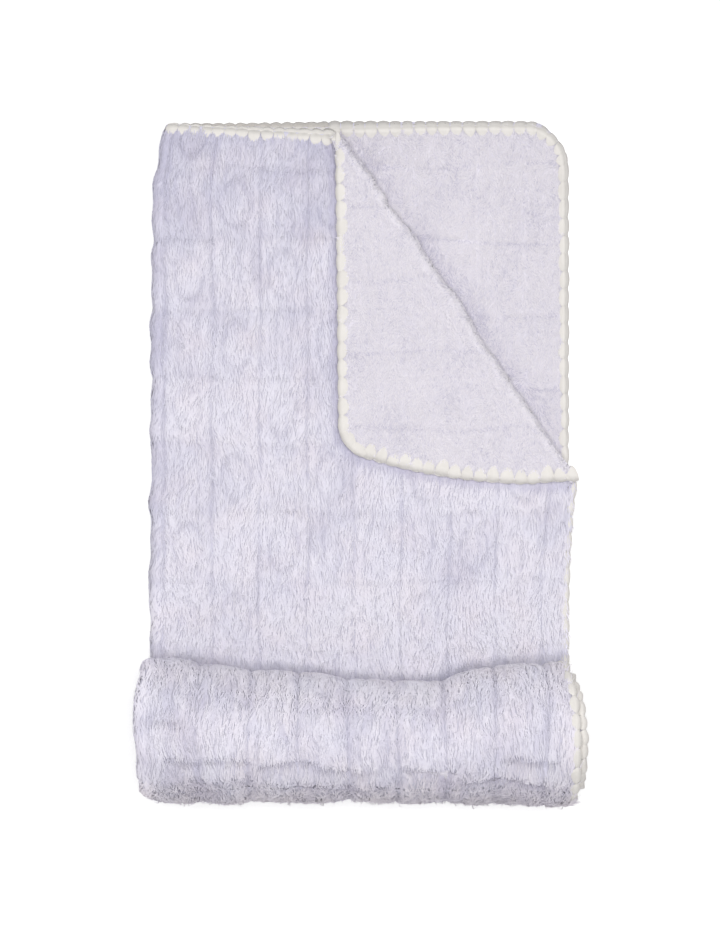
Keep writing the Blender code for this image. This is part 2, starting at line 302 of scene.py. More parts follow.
# Painted shadow on the back half's fuzz beside the crease
VALLEY_SHADE = 0.60
FUZZ_LENGTH = 2.2 * MM
FUZZ_WIDTH = 0.32 * MM
FUZZ_PROUD = 0.50 * MM
FUZZ_CLOTH_SHARE = 0.70
FUZZ_DENSITY = 3.0e6
FUZZ_INSET = 2.0 * MM
FUZZ_SPREAD = 0.26
# Painted shade of the fuzz along the lining's lines and the plush's grooves, with the plush's random tone
FUZZ_PAINTED_SHADE_AND_TONE = 0.45
# Painted shade on the fuzz over the crease
CREASE_FUZZ_SHADE = 0.02

# Pile of the plush
PILE_LENGTH = 6.5 * MM
PILE_WIDTH = 0.34 * MM
PILE_PROUD = 0.36 * MM
ROLL_PROUD = 0.42 * MM
PRESSED_PROUD = -0.08 * MM
PRESSED_WIDTH = 0.7 * MM
FREE_PILE = 2.0e6
PRESSED_PILE = 0.32e6
PRESSED_INSET = 5.0 * MM
CORNER_PILE = 1.2e6
PILE_INSET = 1.5 * MM
PILE_START = 1.0 * MM
PILE_PAST_FOLD = 1.6 * FOLD_REACH
WIDTH_RANGE = (0.7, 1.3)
OUTER_STRIPS = 6
NORMAL_STEP = 0.5 * MM
STRAND_HEIGHT = 0.6
FRONT_PILE_UPWARD = 0.1
ROLL_PILE_UPWARD = 0.45
CREASE_FUZZ_UPWARD = 0.2
TUFT_WIDTH = 1.8 * MM
TUFT_LENGTH = 6.5 * MM
ROLL_TUFT_WIDTH = 3.0 * MM
CLOTH_SHARE = 0.955
FRONT_PILE_BANDS = 4
PILE_TONE = 0.50
TUFT_TONE = 0.07
STRAND_TONE = 0.035
FUZZ_TONE = 0.70
# Painted shadow line along each of the roll's soft folds
FOLD_LINE_PAINTED_SHADE = 0.75
WARM_PATCHES = 0.35

# Where the front pile is pressed or stands up, and the painted shade and painted light in its colour there
UNDER_ROLL = (FLAT_LENGTH - 34 * MM, FLAT_LENGTH - 20 * MM)
NEAR_ROLL = (FLAT_LENGTH - 32.5 * MM, FLAT_LENGTH - 28.5 * MM)
FRINGE = (FLAT_LENGTH - 75 * MM, FLAT_LENGTH - 50 * MM)
UNDER_CORNER = (-3 * MM, 2 * MM)
NEAR_CORNER = (-7 * MM, 0 * MM)
INSIDE_CORNER = 9 * MM
NEAR_FOLD = (-1 * MM, 8 * MM)
# Painted shade below the top edge, beside the turned corner, above the roll and along the left fold, and
# painted light on the fringe above the roll
TOP_SHADE_ALONG = (20 * MM, 150 * MM)
TOP_SHADE_FADE = 14 * MM
TOP_SHADE_NEAR = 0.28
TOP_SHADE_FAR = 0.14
CORNER_SHADE = 0.42
ROLL_SHADE = 0.30
FOLD_SHADE = 0.32
FRINGE_LIGHT = 0.18

# Bends of the roll between which its pile stands free, hangs low down, and gathers in tufts
ROLL_OPENS = (0, math.radians(35))
ROLL_CLOSES = (math.radians(300), math.radians(345))
LOW_DOWN_ENDS = (math.radians(95), math.radians(140))
TUFTS_START = (math.radians(175), math.radians(215))
TUFTS_END = (math.radians(235), math.radians(265))
OFF_FOLD = (1 * MM, 9 * MM)

# Seeds of the strands' places
FRONT_PILE_SEED = 31
UNDERSIDE_PILE_SEED = 38
ROLL_PILE_SEED = 40
CORNER_PILE_SEED = 61
CORNER_FUZZ_SEED = 62
BACK_FUZZ_SEED = 63
CREASE_FUZZ_SEED = 64

# Stitches
SIDE_DEPTH = 3.9 * MM
TOP_DEPTH = 4.4 * MM
CORNER_DEPTH = 5.2 * MM
STITCH_THICKNESS = 0.55 * MM
ROLL_STITCH_THICKNESS = 0.75 * MM
STITCH_ROUNDNESS = 0.35
STITCH_SPREAD = 1.12
RIM_SWELL = 1.35
ROLL_PITCH = 6.4 * MM
SIDE_PITCH = 8.1 * MM
END_PITCH = 5.7 * MM
STITCH_INSET = 0.3 * MM
CORD_RADIUS = 0.7 * MM
CORD_INSET = 1.5 * MM
FRONT_TOP_INSET = 0.5 * MM
CORD_BULGE = 0.7 * MM
CORD_SIDES = 6
CORD_HEIGHT = 2.3
CORD_TWIST = 0.12
CORNER_FOOT_POINTS = 60
CREASE_STITCH_SUNK = 1.3 * MM
CREASE_STITCH_END = 3.2 * MM
CREASE_END_DRAW = 1.5 * MM

# Materials
WARM_TINT = (1.03, 0.99, 0.965, 1)
CLOTH_FINISH = {"roughness": 0.95, "strength": 0.6, "distance": 0.6 * MM}
YARN_FINISH = {"roughness": 0.8, "drawn_out": 1.0, "strength": 0.5, "distance": 0.3 * MM}
CLOTH_SHEEN = 0.15
PILE_SHEEN = 0.2
PILE_ROUGHNESS = 0.85
SHEEN_ROUGHNESS = 0.6
SPECULAR = 0.2
BROAD_MOTTLING_SCALE = 38
FINE_MOTTLING_SCALE = 420
COARSE_FIBRE_SCALE = 700
FINE_FIBRE_SCALE = 2200

# Stage and camera
SKY_STRENGTH = 0.46
LAMP_POWER = 11.5
LAMP_SIZE = (0.6, 0.5)
LAMP_PLACE = (0.02, 0.02, 1.35)
FLOOR_GLOW = 0.36
FLOOR_GREY = 0.82
FLOOR_REACH = 3.0
FLOOR_HEIGHT = -0.1 * MM
CAMERA_PLACE = (-0.9 * MM, -1.5 * MM, 1.2)
CAMERA_LENS = 99.5
CAMERA_SENSOR = 36


def bend_at(along):
    """The roll's bend at a distance from the top edge, zero on the flat part."""
    rest = np.clip(along - FLAT_LENGTH, 0, ROLLED_LENGTH)
    return (NEUTRAL_RADIUS - np.sqrt(NEUTRAL_RADIUS**2 - 2 * CLIMB * rest)) / CLIMB


def along_at(bend):
    """Distance from the top edge to this bend of the roll."""
    return FLAT_LENGTH + NEUTRAL_RADIUS * bend - CLIMB * bend**2 / 2


def smooth(value, low, high):
    """0 below low, 1 above high, and an S-shaped rise of 3 t squared less 2 t cubed between them."""
    t = np.clip((value - low) / (high - low), 0, 1)
    return t * t * (3 - 2 * t)


def bell(value, width):
    """1 where value is 0, falling off to both sides: e to the power of minus the square of value / width."""
    return np.exp(-((value / width) ** 2))


def ripple(first, second, wavelength, seed):
    """A smooth random field from -1 to 1: the mean of nine sine waves of random heading and phase."""
    draw = np.random.default_rng(seed)
    total = np.zeros(np.broadcast(first, second).shape)
    for _ in range(9):
        heading = draw.uniform(0, math.tau)
        length = wavelength * draw.uniform(0.7, 1.5)
        phase = draw.uniform(0, math.tau)
        total += np.sin(math.tau / length * (first * math.cos(heading) + second * math.sin(heading)) + phase)
    return total / 4.5


def folded(across, height):
    """The folded stack: a half circle round the fold line, straight on both sides of it."""
    turn = np.clip(across / FOLD_REACH, -1, 1) * math.pi / 2
    radius = HALF_STACK - height
    beyond = np.maximum(np.abs(across) - FOLD_REACH, 0)
    return FOLD_CENTRE_X - radius * np.cos(turn) + beyond, HALF_STACK - radius * np.sin(turn)


def settled(x, along, front):
    """Small shifts of the cloth in its own plane, as it lies. front is 0 on the back half and 1 on the front.

    The left fold draws in at the shoulder and swells below it, the top edges and the right edges stand
    out a little, each fading with an exponential of the distance from its edge.
    """
    near_fold = np.exp(-np.maximum(x - LEFT_X, 0) / SIDE_FADE)
    long_wave = np.sin(along * math.tau / LONG_WAVE)
    wave = long_wave + SHORT_WAVE_SHARE * np.sin(along * math.tau / SHORT_WAVE + 1.0)
    fold = SHOULDER_INSET * np.exp(-np.maximum(along, 0) / SHOULDER_FADE) - FOLD_SWELL + FOLD_WAVE * wave
    fold = fold - FOLD_EASE * smooth(along, *FOLD_EASE_ALONG)
    near_right = smooth(x, RIGHT_X - 2 * SIDE_FADE, RIGHT_X)
    back_side = BACK_SIDE_SWELL * (1 - smooth(along, *BACK_SIDE_ALONG))
    from_crease_end = np.abs(along - CREASE_DROP)
    front_side = CREASE_SIDE_SWELL * np.exp(-from_crease_end / CREASE_SIDE_FADE)
    front_side = front_side - FRONT_SIDE_INSET * smooth(along, CREASE_DROP, CREASE_DROP + FRONT_SIDE_FADE)
    near_top = np.exp(-np.maximum(along, 0) / TOP_FADE)
    to_crease = np.clip((x - LEFT_X) / (RIGHT_X - CREASE_FROM_SIDE - LEFT_X), 0, 1)
    past_crease = smooth(x, RIGHT_X - CREASE_FROM_SIDE, RIGHT_X - CREASE_FROM_SIDE + CREASE_TOP_FADE)
    front_top = (TOP_RISE - (TOP_RISE + CREASE_DIP) * to_crease) * (1 - past_crease)
    back_top = TOP_RISE + (BACK_TOP_RISE - TOP_RISE) * to_crease
    x = x + near_fold * fold + near_right * (back_side * (1 - front) + front_side * front)
    to_corner = np.hypot(x - RIGHT_X, along)
    pull = BACK_CORNER_PULL * bell(to_corner, BACK_CORNER_REACH) * (1 - front)
    x = x - pull
    along = along - near_top * (back_top * (1 - front) + front_top * front) + pull
    return x, along


def roll_top_shift(x):
    """How far the upper side of the roll lies from the frame's, read off between listed places."""
    read = [np.interp(x + step * ROLL_TOP_BLUR, ROLL_TOP_AT, ROLL_TOP_SHIFT) for step in (-1, -0.4, 0.4, 1)]
    return sum(read) / 4


def slackened(x, y, z, along, bend):
    """The roll spread at its ends and slack in its middle, its upper side moved most, and its ends
    rounded like a barrel."""
    shift = roll_top_shift(x)
    depth = (y - (ROLL_Y - ROLL_RADIUS)) / (2 * ROLL_RADIUS)
    on_roll = bend > 0
    lead = ROLL_LEAD_SHARE * smooth(along, FLAT_LENGTH - ROLL_LEAD, FLAT_LENGTH)
    y = y + shift * np.where(on_roll, smooth(depth, 0, 1), lead)
    slack = np.clip(-shift / FULL_SLACK, LEAST_SLACK, 1)
    z = z - ROLL_SINK * slack * (np.maximum(z, 0) / (2 * ROLL_RADIUS)) ** 2 * on_roll
    swing = np.sin(np.clip(bend / math.tau, 0, 1) * math.pi)
    side = np.clip(x / RIGHT_X, -1, 1) ** 3
    bulge = np.where(side > 0, ROLL_BARREL_RIGHT * swing, ROLL_BARREL_LEFT * swing**3)
    drawn = np.where(side > 0, -ROLL_END_DRAW * smooth(bend, *ROLL_DRAW_BENDS), 0)
    spread = np.where(side > 0, 0, ROLL_END_SPREAD) * smooth(bend, *ROLL_SPREAD_BENDS)
    x = x + side * (bulge + drawn + spread)
    tip = bell(x - ROLL_TIP_AT, ROLL_TIP_WIDTH) * (1 - smooth(depth, 0, ROLL_TIP_DEPTH)) * on_roll
    y = y - ROLL_TIP * tip - ROLL_SAG * (1 - smooth(depth, 0, ROLL_SAG_DEPTH)) * on_roll
    return x, y, z


def roll_folds(x, bend):
    """Depth of the soft folds along the outer turn, and the strength of their lines, which deepen the
    grooves and are painted as shadow lines. Each drops off sharply under the cloth above it and comes up
    again slowly: a narrow and a wide half of a Gaussian."""
    depths = 0 * x
    lines = 0 * x
    bow = ROLL_FOLD_BOW * ripple(x, 0 * x, *ROLL_FOLD_FIELD)
    for degrees, middle, half, depth in ROLL_FOLDS:
        away = (bend - math.radians(degrees)) * NEUTRAL_RADIUS + bow
        width = np.where(away > 0, ROLL_FOLD_EDGE, ROLL_FOLD_SLOPE)
        reach = 1 - smooth(np.abs(x - middle), 0.5 * half, half)
        depths = depths + depth * bell(away, width) * reach
        lines = lines + bell(away, ROLL_FOLD_LINE) * reach
    return depths, lines


def roll_dents(x, bend):
    """How far the outer turn is pressed in: a long hollow behind its crest, soft folds, and lumps."""
    behind = bell(bend - LIP_BEND, LIP_WIDTH)
    within = smooth(x, LIP_FROM - LIP_FADE, LIP_FROM + LIP_FADE)
    within = within * (1 - smooth(x, LIP_TO - LIP_FADE, LIP_TO + LIP_FADE))
    wavering = 1 + 0.3 * ripple(x, bend * NEUTRAL_RADIUS, *LIP_FIELD)
    lumps = ripple(x, bend * NEUTRAL_RADIUS * LUMP_STRETCH, *LUMP_FIELD)
    lumps = lumps * smooth(bend, *LUMPS_START) * (1 - smooth(bend, *LUMPS_END))
    return LIP_DEPTH * behind * within * wavering + roll_folds(x, bend)[0] - ROLL_LUMPS * lumps


def rolled(x, along, level):
    """The folded stack with its foot rolled up over the front, on a spiral that tightens evenly."""
    bend = bend_at(along)
    radius = ROLL_RADIUS - CLIMB * bend - level - roll_dents(x, bend)
    y = TOP_Y - np.minimum(along, FLAT_LENGTH) - radius * np.sin(bend)
    z = ROLL_RADIUS - radius * np.cos(bend)
    x, y, z = slackened(x, y, z, along, bend)
    z = FLOOR_SOFTNESS * np.logaddexp(0, z / FLOOR_SOFTNESS)
    return np.stack([x, y, z], -1)


def blanket_place(across, along, height):
    """Where a flat place lies on the folded and rolled blanket."""
    x, level = folded(across, height)
    front = np.clip(level / STACK, 0, 1)
    x, along = settled(x, along, front)
    return rolled(x, along, level)


def crease_frame(x, y):
    """How far a point lies along the crease, and how deep on the turned corner's side of it."""
    distance = (x - CREASE_TOP[0]) * CREASE_LINE[0] + (y - CREASE_TOP[1]) * CREASE_LINE[1]
    depth = -(x - CREASE_TOP[0]) * CREASE_OUT[0] - (y - CREASE_TOP[1]) * CREASE_OUT[1]
    return distance, depth


def crease_point(distance, out):
    """The x and y of a point this far along the crease and this far out from the turned corner."""
    x = CREASE_TOP[0] + CREASE_LINE[0] * distance + CREASE_OUT[0] * out
    y = CREASE_TOP[1] + CREASE_LINE[1] * distance + CREASE_OUT[1] * out
    return x, y


def upper_place(x, y, z):
    """Settles a point of the front half's upper layers, given by its straight x, y and z, and lets the
    turned corner stand up softly along its crease."""
    puff = CREASE_PUFF * bell(crease_frame(x, y)[1], CREASE_PUFF_REACH)
    z = z + puff * smooth(z, *CREASE_PUFF_HEIGHTS)
    x, along = settled(x, TOP_Y - y, np.ones_like(x))
    return np.stack([x, TOP_Y - along, z + np.zeros_like(x)], -1)


def turned_place(x, y, height):
    """The turned corner lies plush down on the front half, so its places are already x and y. Its left
    side has moved a little to the right below the crease's upper end, and its foot a little down."""
    side = smooth(TOP_Y - y, *FLAP_SIDE_BELOW) * (1 - smooth(x - CREASE_TOP[0], *FLAP_SIDE_ACROSS))
    foot = smooth(TOP_Y - y, *FLAP_FOOT_BELOW) * smooth(crease_frame(x, y)[1], *FLAP_FOOT_DEPTHS)
    return upper_place(x + FLAP_SIDE_SHIFT * side, y - FLAP_FOOT_SHIFT * foot, TURNED_FLOOR + height)


def arc_share(around):
    """The share of the bend's arc that lies before a place around it: 0 before the arc and 1 after it."""
    return np.clip((around - CREASE_STRIP) / CREASE_ARC, 0, 1)


def outermost(around):
    """1 at the bend's outermost line, falling to 0 at both ends of its arc by the sine of half a turn."""
    return np.sin(arc_share(around) * math.pi)


def crease_place(distance, around, height):
    """The bend along the crease. distance runs along it. around is counted from the front half, over a
    half ellipse round the crease line, to the turned corner, with straight strips before and after."""
    tuck = CREASE_TUCK_DEPTH * smooth(around, CREASE_WIDTH, CREASE_WIDTH + CREASE_TUCK)
    radius = HALF_GAP + height - tuck
    turn = arc_share(around) * math.pi - math.pi / 2
    beyond = np.maximum(CREASE_STRIP - around, around - CREASE_STRIP - CREASE_ARC)
    beyond = np.maximum(beyond, 0)
    bow = CREASE_BOW * np.sin(np.clip(distance / CREASE_LENGTH, 0, 1) * math.pi)
    wave = ripple(distance, 0, *CREASE_LONG_FIELD)
    wave = CREASE_WAVE * (wave + CREASE_SHORT_SHARE * ripple(distance, 0, *CREASE_SHORT_FIELD))
    drawn_in = (CREASE_SHIFT - bow - wave) * np.clip(1 - beyond / CREASE_STRIP, 0, 1)
    out = CREASE_FLATNESS * radius * np.cos(turn) - beyond - drawn_in
    return upper_place(*crease_point(distance, out), CREASE_HEIGHT + radius * np.sin(turn))


def crease_flat(distance, past):
    """The place on the flat front half of a point this far past the crease line, before it was folded."""
    x, y = crease_point(distance, past)
    return FOLD_CENTRE_X - FOLD_REACH - x, TOP_Y - y


def corner_flat(x, y):
    """The place on the flat front half of a point of the turned corner."""
    distance, depth = crease_frame(x, y)
    return crease_flat(distance, depth + CREASE_ARC)


def groove_shape(distance):
    """A crisp line in a soft valley: two Gaussians of the distance to its middle."""
    return GROOVE_WIDTH_SHARE * bell(distance, GROOVE_WIDTH) + GROOVE_LINE_SHARE * bell(distance, GROOVE_LINE)


def lining_print(distance, around):
    """Where a place on the bend or past it lies in the lining's print, whose lines run on level over the
    turned corner, moved by PRINT_SHIFT over the bend."""
    before = np.minimum(around - CREASE_STRIP, 0)
    after = np.maximum(around - CREASE_STRIP - CREASE_ARC, 0)
    across, along = crease_flat(distance, before - after)
    return across, along + PRINT_SHIFT * arc_share(around)


def corner_print(x, y):
    """The place of a point of the turned corner in the lining's print."""
    distance, depth = crease_frame(x, y)
    return lining_print(distance, depth + CREASE_STRIP + CREASE_ARC)


def hashed(value, scale):
    """A number that looks random, but is the same each time: the fraction of a large multiple of a sine."""
    return np.modf(np.sin(value) * scale)[0]


def emboss(across, along):
    """The rise of the plush over its pressed blocks, the way to the nearest column line, and its tone.

    Straight grooves part the plush into blocks. Every second block holds an oval groove, and the others
    a few soft streaks. On the outer turn of the roll the blocks stand up more. The tone is random over
    blocks and patches, and darker as painted shade in the grooves, along the partings and along the
    roll's soft folds.
    """
    on_roll = smooth(along, *BLOCKS_ON_ROLL) * smooth(across, 0, BLOCKS_PAST_FOLD)
    a = across + COLUMN_BOW * ripple(across, along, *COLUMN_FIELD) - ROLL_COLUMN_SHIFT * on_roll
    b = along + ROW_BOW * ripple(across, along, *ROW_FIELD)
    column = (a - COLUMN_START) / COLUMN_PITCH
    row = (b - ROW_START) / ROW_PITCH
    from_column = (column - np.round(column)) * COLUMN_PITCH
    from_row = (row - np.round(row)) * ROW_PITCH
    u = (column - np.floor(column) - 0.5) * COLUMN_PITCH / RING_HALF_WIDTH
    v = (row - np.floor(row) - 0.5) * ROW_PITCH / RING_HALF_LENGTH
    ring = groove_shape((np.hypot(u, v) - 1) * RING_REACH)
    ringed = (np.floor(column) + np.floor(row)) % 2 == 0
    inside = (1 - smooth(np.abs(u), *STREAK_ACROSS)) * (1 - smooth(np.abs(v), *STREAK_ALONG))
    streak_turn = a * math.tau / (COLUMN_PITCH / 3) + 2 * ripple(across, along, *STREAK_FIELD)
    streak = (0.5 - 0.5 * np.cos(streak_turn)) ** 3
    fade = 0.65 + 0.45 * ripple(across, along, *FADE_FIELD)
    groove = COLUMN_GROOVE * groove_shape(from_column) * fade
    row_shape = groove_shape(from_row / ROW_WIDENING)
    groove = groove + ROW_GROOVE * row_shape * (1.4 - fade)
    in_block = np.where(ringed, RING_GROOVE * ring, STREAK_GROOVE * streak * inside)
    groove = groove + in_block * (0.5 + 0.5 * fade)
    valley = COLUMN_GROOVE * bell(from_column, COLUMN_VALLEY_WIDTH)
    valley = valley + ROW_GROOVE * bell(from_row, ROW_VALLEY_WIDTH)
    painted_shade_groove = groove - 0.4 * ROW_GROOVE * row_shape * (1.4 - fade) + 0.35 * valley * on_roll
    folds = roll_folds(folded(across, 0)[0], bend_at(along))[1] * on_roll
    groove = groove + (ROLL_GROOVE * valley + FOLD_GROOVE * folds) * on_roll
    step = BLOCK_STEP * np.where(ringed, 1, -1) * np.tanh(np.abs(from_column) / GROOVE_WIDTH)
    parting = bell(ripple(across, PARTING_STRETCH * along, *PARTING_FIELD), PARTING_WIDTH)
    parting = parting * smooth(ripple(across, along, *PARTING_AREA_FIELD), 0.1, 0.7)
    groove = groove + PARTING_DEPTH * parting
    swell = PLUSH_SWELL * ripple(across, along, *SWELL_FIELD)
    spread = hashed(np.floor(column) * 12.9898 + np.floor(row) * 78.233, 43758.5453)
    patches = FINE_PATCH_TONE * ripple(across, along, *FINE_PATCH_FIELD)
    patches = patches + BROAD_PATCH_TONE * ripple(across, along, *BROAD_PATCH_FIELD)
    tone = BLOCK_TONE * spread + patches
    # The grooves, partings and roll folds are darkened as painted shade
    tone = tone - GROOVE_PAINTED_SHADE * painted_shade_groove / MM - PARTING_PAINTED_SHADE * parting - FOLD_LINE_PAINTED_SHADE * folds
    return step + swell - groove, from_column, tone


def evenly(low, high, spacing):
    """Values from low to high about a spacing apart, in a number of steps that three divides."""
    steps = 3 * max(1, round((high - low) / spacing / 3))
    return np.linspace(low, high, steps + 1)


def linked(name, data):
    """A new object of the scene that shows these data."""
    item = bpy.data.objects.new(name, data)
    bpy.context.scene.collection.objects.link(item)
    return item


def mesh_object(name, points, faces, corner_maps, material, facts, rounded, normals=None):
    """A mesh from arrays. faces is a list of arrays with one row a face, corner_maps their places on the
    bake map, and facts gives further values of each point by name. The first few arrays of faces, as
    many as rounded says, are shaded smooth and the others flat. Faces are turned to point outwards."""
    points = np.asarray(points, float).reshape(-1, 3)
    corners = np.concatenate([f.ravel() for f in faces])
    maps = np.concatenate([m.reshape(-1, 2) for m in corner_maps])
    counts = np.concatenate([np.full(len(f), f.shape[1]) for f in faces])
    starts = np.concatenate([[0], np.cumsum(counts)[:-1]])
    middle = points.mean(0)
    volume = 0.0
    for f in faces:
        ring = points[f] - middle
        for second in range(1, f.shape[1] - 1):
            volume += np.einsum("ij,ij->", ring[:, 0], np.cross(ring[:, second], ring[:, second + 1]))
    if volume < 0:
        last = np.repeat(starts + counts - 1, counts)
        first = np.repeat(starts, counts)
        order = first + last - np.arange(len(corners))
        corners = corners[order]
        maps = maps[order]
    mesh = bpy.data.meshes.new(name)
    mesh.vertices.add(len(points))
    mesh.vertices.foreach_set("co", points.astype(np.float32).ravel())
    mesh.loops.add(len(corners))
    mesh.loops.foreach_set("vertex_index", corners.astype(np.int32))
    mesh.polygons.add(len(counts))
    mesh.polygons.foreach_set("loop_start", starts.astype(np.int32))
    mesh.update(calc_edges=True)
    bake = mesh.uv_layers.new(name="OFBake")
    bake.uv.foreach_set("vector", maps.astype(np.float32).ravel())
    for fact, values in facts.items():
        values = np.asarray(values, np.float32)
        if values.shape[-1] == 3 and values.size == 3 * len(points):
            mesh.attributes.new(fact, "FLOAT_VECTOR", "POINT").data.foreach_set("vector", values.ravel())
        else:
            mesh.attributes.new(fact, "FLOAT", "POINT").data.foreach_set("value", values.ravel())
    soft = np.concatenate([np.full(len(f), number < rounded) for number, f in enumerate(faces)])
    mesh.polygons.foreach_set("use_smooth", soft)
    if normals is not None:
        mesh.normals_split_custom_set_from_vertices(normals.astype(np.float32))
    mesh.materials.append(material)
    return linked(name, mesh)


def grid_quads(columns, rows, first):
    """The quads of a grid of points, numbered column by column from first."""
    i, j = np.meshgrid(np.arange(columns - 1), np.arange(rows - 1), indexing="ij")
    a = first + i * rows + j
    return np.stack([a, a + rows, a + rows + 1, a + 1], -1).reshape(-1, 4)


def grid_map(columns, rows, left, right):
    """The bake map of such a grid, between two values across and nearly the whole height."""
    u = np.linspace(left, right, columns)[:, None] + np.zeros(rows)
    v = np.linspace(0.02, 0.98, rows)[None, :] + np.zeros((columns, 1))
    return np.stack([u, v], -1)


def rim_faces(outer, inner, outer_map, push, backwards):
    """Six-cornered faces that join a fine border to a border with a third of its steps."""
    k = np.arange(len(inner) - 1)
    fine = np.stack([outer[3 * k + step] for step in range(4)], -1)
    coarse = np.stack([inner[k + 1], inner[k]], -1)
    fine_map = np.stack([outer_map[3 * k + step] for step in range(4)], 1)
    coarse_map = np.stack([outer_map[3 * k + 3] + push, outer_map[3 * k] + push], 1)
    faces = np.concatenate([fine, coarse], -1)
    maps = np.concatenate([fine_map, coarse_map], 1)
    if backwards:
        return faces[:, ::-1], maps[:, ::-1]
    return faces, maps


def closed_cloth(name, outer, inner, material, facts):
    """One cloth with thickness. outer is a grid of points, inner has every third row and column of the
    other face, and a rim joins them. facts are values on the outer grid, repeated on the inner one."""
    columns, rows = outer.shape[:2]
    outer_number = np.arange(columns * rows).reshape(columns, rows)
    few_columns, few_rows = inner.shape[:2]
    first = columns * rows
    inner_number = first + np.arange(few_columns * few_rows).reshape(few_columns, few_rows)
    outer_map = grid_map(columns, rows, 0.02, 0.48)
    inner_map = grid_map(few_columns, few_rows, 0.52, 0.98)
    faces = [grid_quads(columns, rows, 0), grid_quads(few_columns, few_rows, first)[:, ::-1]]
    maps = [
        outer_map.reshape(-1, 2)[faces[0]],
        inner_map.reshape(-1, 2)[faces[1] - first],
    ]
    push = 0.014
    borders = (
        (np.s_[:, 0], (0, -push), True),
        (np.s_[:, -1], (0, push), False),
        (np.s_[0, :], (-push, 0), False),
        (np.s_[-1, :], (push, 0), True),
    )
    for border, shift, backwards in borders:
        rim, rim_map = rim_faces(
            outer_number[border], inner_number[border], outer_map[border], np.array(shift), backwards
        )
        faces.append(rim)
        maps.append(rim_map)
    points = np.concatenate([outer.reshape(-1, 3), inner.reshape(-1, 3)])
    carried = {}
    for fact, values in facts.items():
        thin = values[::3, ::3]
        shape = (-1, 3) if values.ndim == 3 else (-1,)
        carried[fact] = np.concatenate([values.reshape(shape), thin.reshape(shape)])
    return mesh_object(name, points, faces, maps, material, carried, 2)


def side_limit(along, half):
    """How far the cloth reaches from the fold at a distance from the top edge, its corners rounded."""
    top_gap = np.maximum(CORNER_RADIUS - along, 0) if half == BACK_HALF else 0 * along
    top_in = CORNER_RADIUS - np.sqrt(np.maximum(CORNER_RADIUS**2 - top_gap**2, 0))
    hem_gap = np.clip(along - (BLANKET_LENGTH - HEM_CORNER_RADIUS), 0, HEM_CORNER_RADIUS)
    hem_in = HEM_CORNER_RADIUS - np.sqrt(HEM_CORNER_RADIUS**2 - hem_gap**2)
    return half - top_in - hem_in


def front_limit(along, strip):
    """How far the front half reaches from the fold, with the turned corner missing past its crease."""
    slope = CREASE_FROM_SIDE / CREASE_DROP
    crease_x = CREASE_TOP[0] + along * slope - strip * CREASE_LENGTH / CREASE_DROP
    to_crease = crease_x - (FOLD_CENTRE_X - FOLD_REACH)
    return np.minimum(side_limit(along, FRONT_HALF) - EDGE_INSET, to_crease)


def panel_grid(first_along, last_along, row_gap, front_gap, back_gap):
    """A grid over the whole width of the blanket, from the front half's side to the back half's."""
    along = evenly(first_along, last_along, row_gap)
    back_share = evenly(0, BACK_HALF - FOLD_REACH, back_gap) / (BACK_HALF - FOLD_REACH)
    front_share = evenly(0, FRONT_HALF - FOLD_REACH, front_gap) / (FRONT_HALF - FOLD_REACH)
    fold = np.linspace(-FOLD_REACH, FOLD_REACH, FOLD_STEPS + 1)
    front = -FOLD_REACH - (front_limit(along, CREASE_STRIP) - FOLD_REACH) * front_share[::-1, None]
    back = FOLD_REACH + (side_limit(along, BACK_HALF) - EDGE_INSET - FOLD_REACH) * back_share[:, None]
    middle = fold[1:-1, None] + 0 * along
    across = np.concatenate([front, middle, back])
    return across, along + 0 * across


def plush_skin(name, across, along, place, flat, calm=1.0):
    """The plush's cloth under the pile, its outer face embossed. flat is where the points lie when flat,
    and calm the share kept of the relief."""
    rise, _, _ = emboss(*flat)
    outer = place(across, along, SKIN_DEPTH - rise * calm)
    inner = place(across, along, PLUSH_THICKNESS + 0 * across)[::3, ::3]
    facts = {"flat_place": np.stack([*flat, 0 * across], -1)}
    return closed_cloth(name, outer, inner, PLUSH, facts)


def lining_relief(across, along):
    """The lining's faint print of the blocks: long thin lines across, shallow ovals, and a soft swell.
    Also how much darker its fuzz is painted at each point: painted shade along the lines, and the
    plush's tone carried over, with its painted shade in the grooves and its random patches."""
    rise, _, tone = emboss(across, along)
    b = along + LINING_ROW_BOW * ripple(across, along, *LINING_ROW_FIELD)
    row = (b - LINING_ROW_START) / LINING_ROW_PITCH
    from_row = (row - np.round(row)) * LINING_ROW_PITCH
    line = bell(from_row, LINING_LINE_WIDTH)
    line = line * (0.85 + 0.35 * ripple(across, along, *LINING_LINE_FIELD))
    swell = LINING_SWELL * ripple(across, along, *LINING_SWELL_FIELD)
    relief = LINING_PRINT_SHARE * rise - LINING_LINE * line + swell
    return relief, 1.1 * line - 1.2 * tone


def crease_calm(around):
    """The share of the relief that stays on the bend along the crease, least at its outermost line."""
    return 1 - 0.7 * outermost(around)


def beside_crease(across, along):
    """1 on the back half's lining right beside the crease, falling off with a Gaussian. It sinks the
    lining there and sets the painted shadow on the fuzz beside the crease.
    """
    out = -crease_frame(across + FOLD_CENTRE_X - FOLD_REACH, TOP_Y - along)[1]
    shade = bell(np.maximum(out - VALLEY_START, 0), VALLEY_WIDTH)
    shade = shade * (0.2 + 0.8 * smooth(out, *VALLEY_RISE))
    return shade * smooth(along, *VALLEY_TOP) * (1 - smooth(along, CREASE_DROP - VALLEY_FOOT, CREASE_DROP))


def lining_skin(name, across, along, place, flat, valley=0.0, calm=1.0):
    """The lining, its outer face embossed. flat is where the points lie when flat, valley how far the
    face sinks, and calm the share kept of the relief."""
    relief, _ = lining_relief(*flat)
    outer = place(across, along, LINING_FACE + relief * calm - valley)
    inner = place(across, along, LINING_START + 0 * across)[::3, ::3]
    facts = {"flat_place": np.stack([*flat, 0 * across], -1)}
    return closed_cloth(name, outer, inner, LINING, facts)


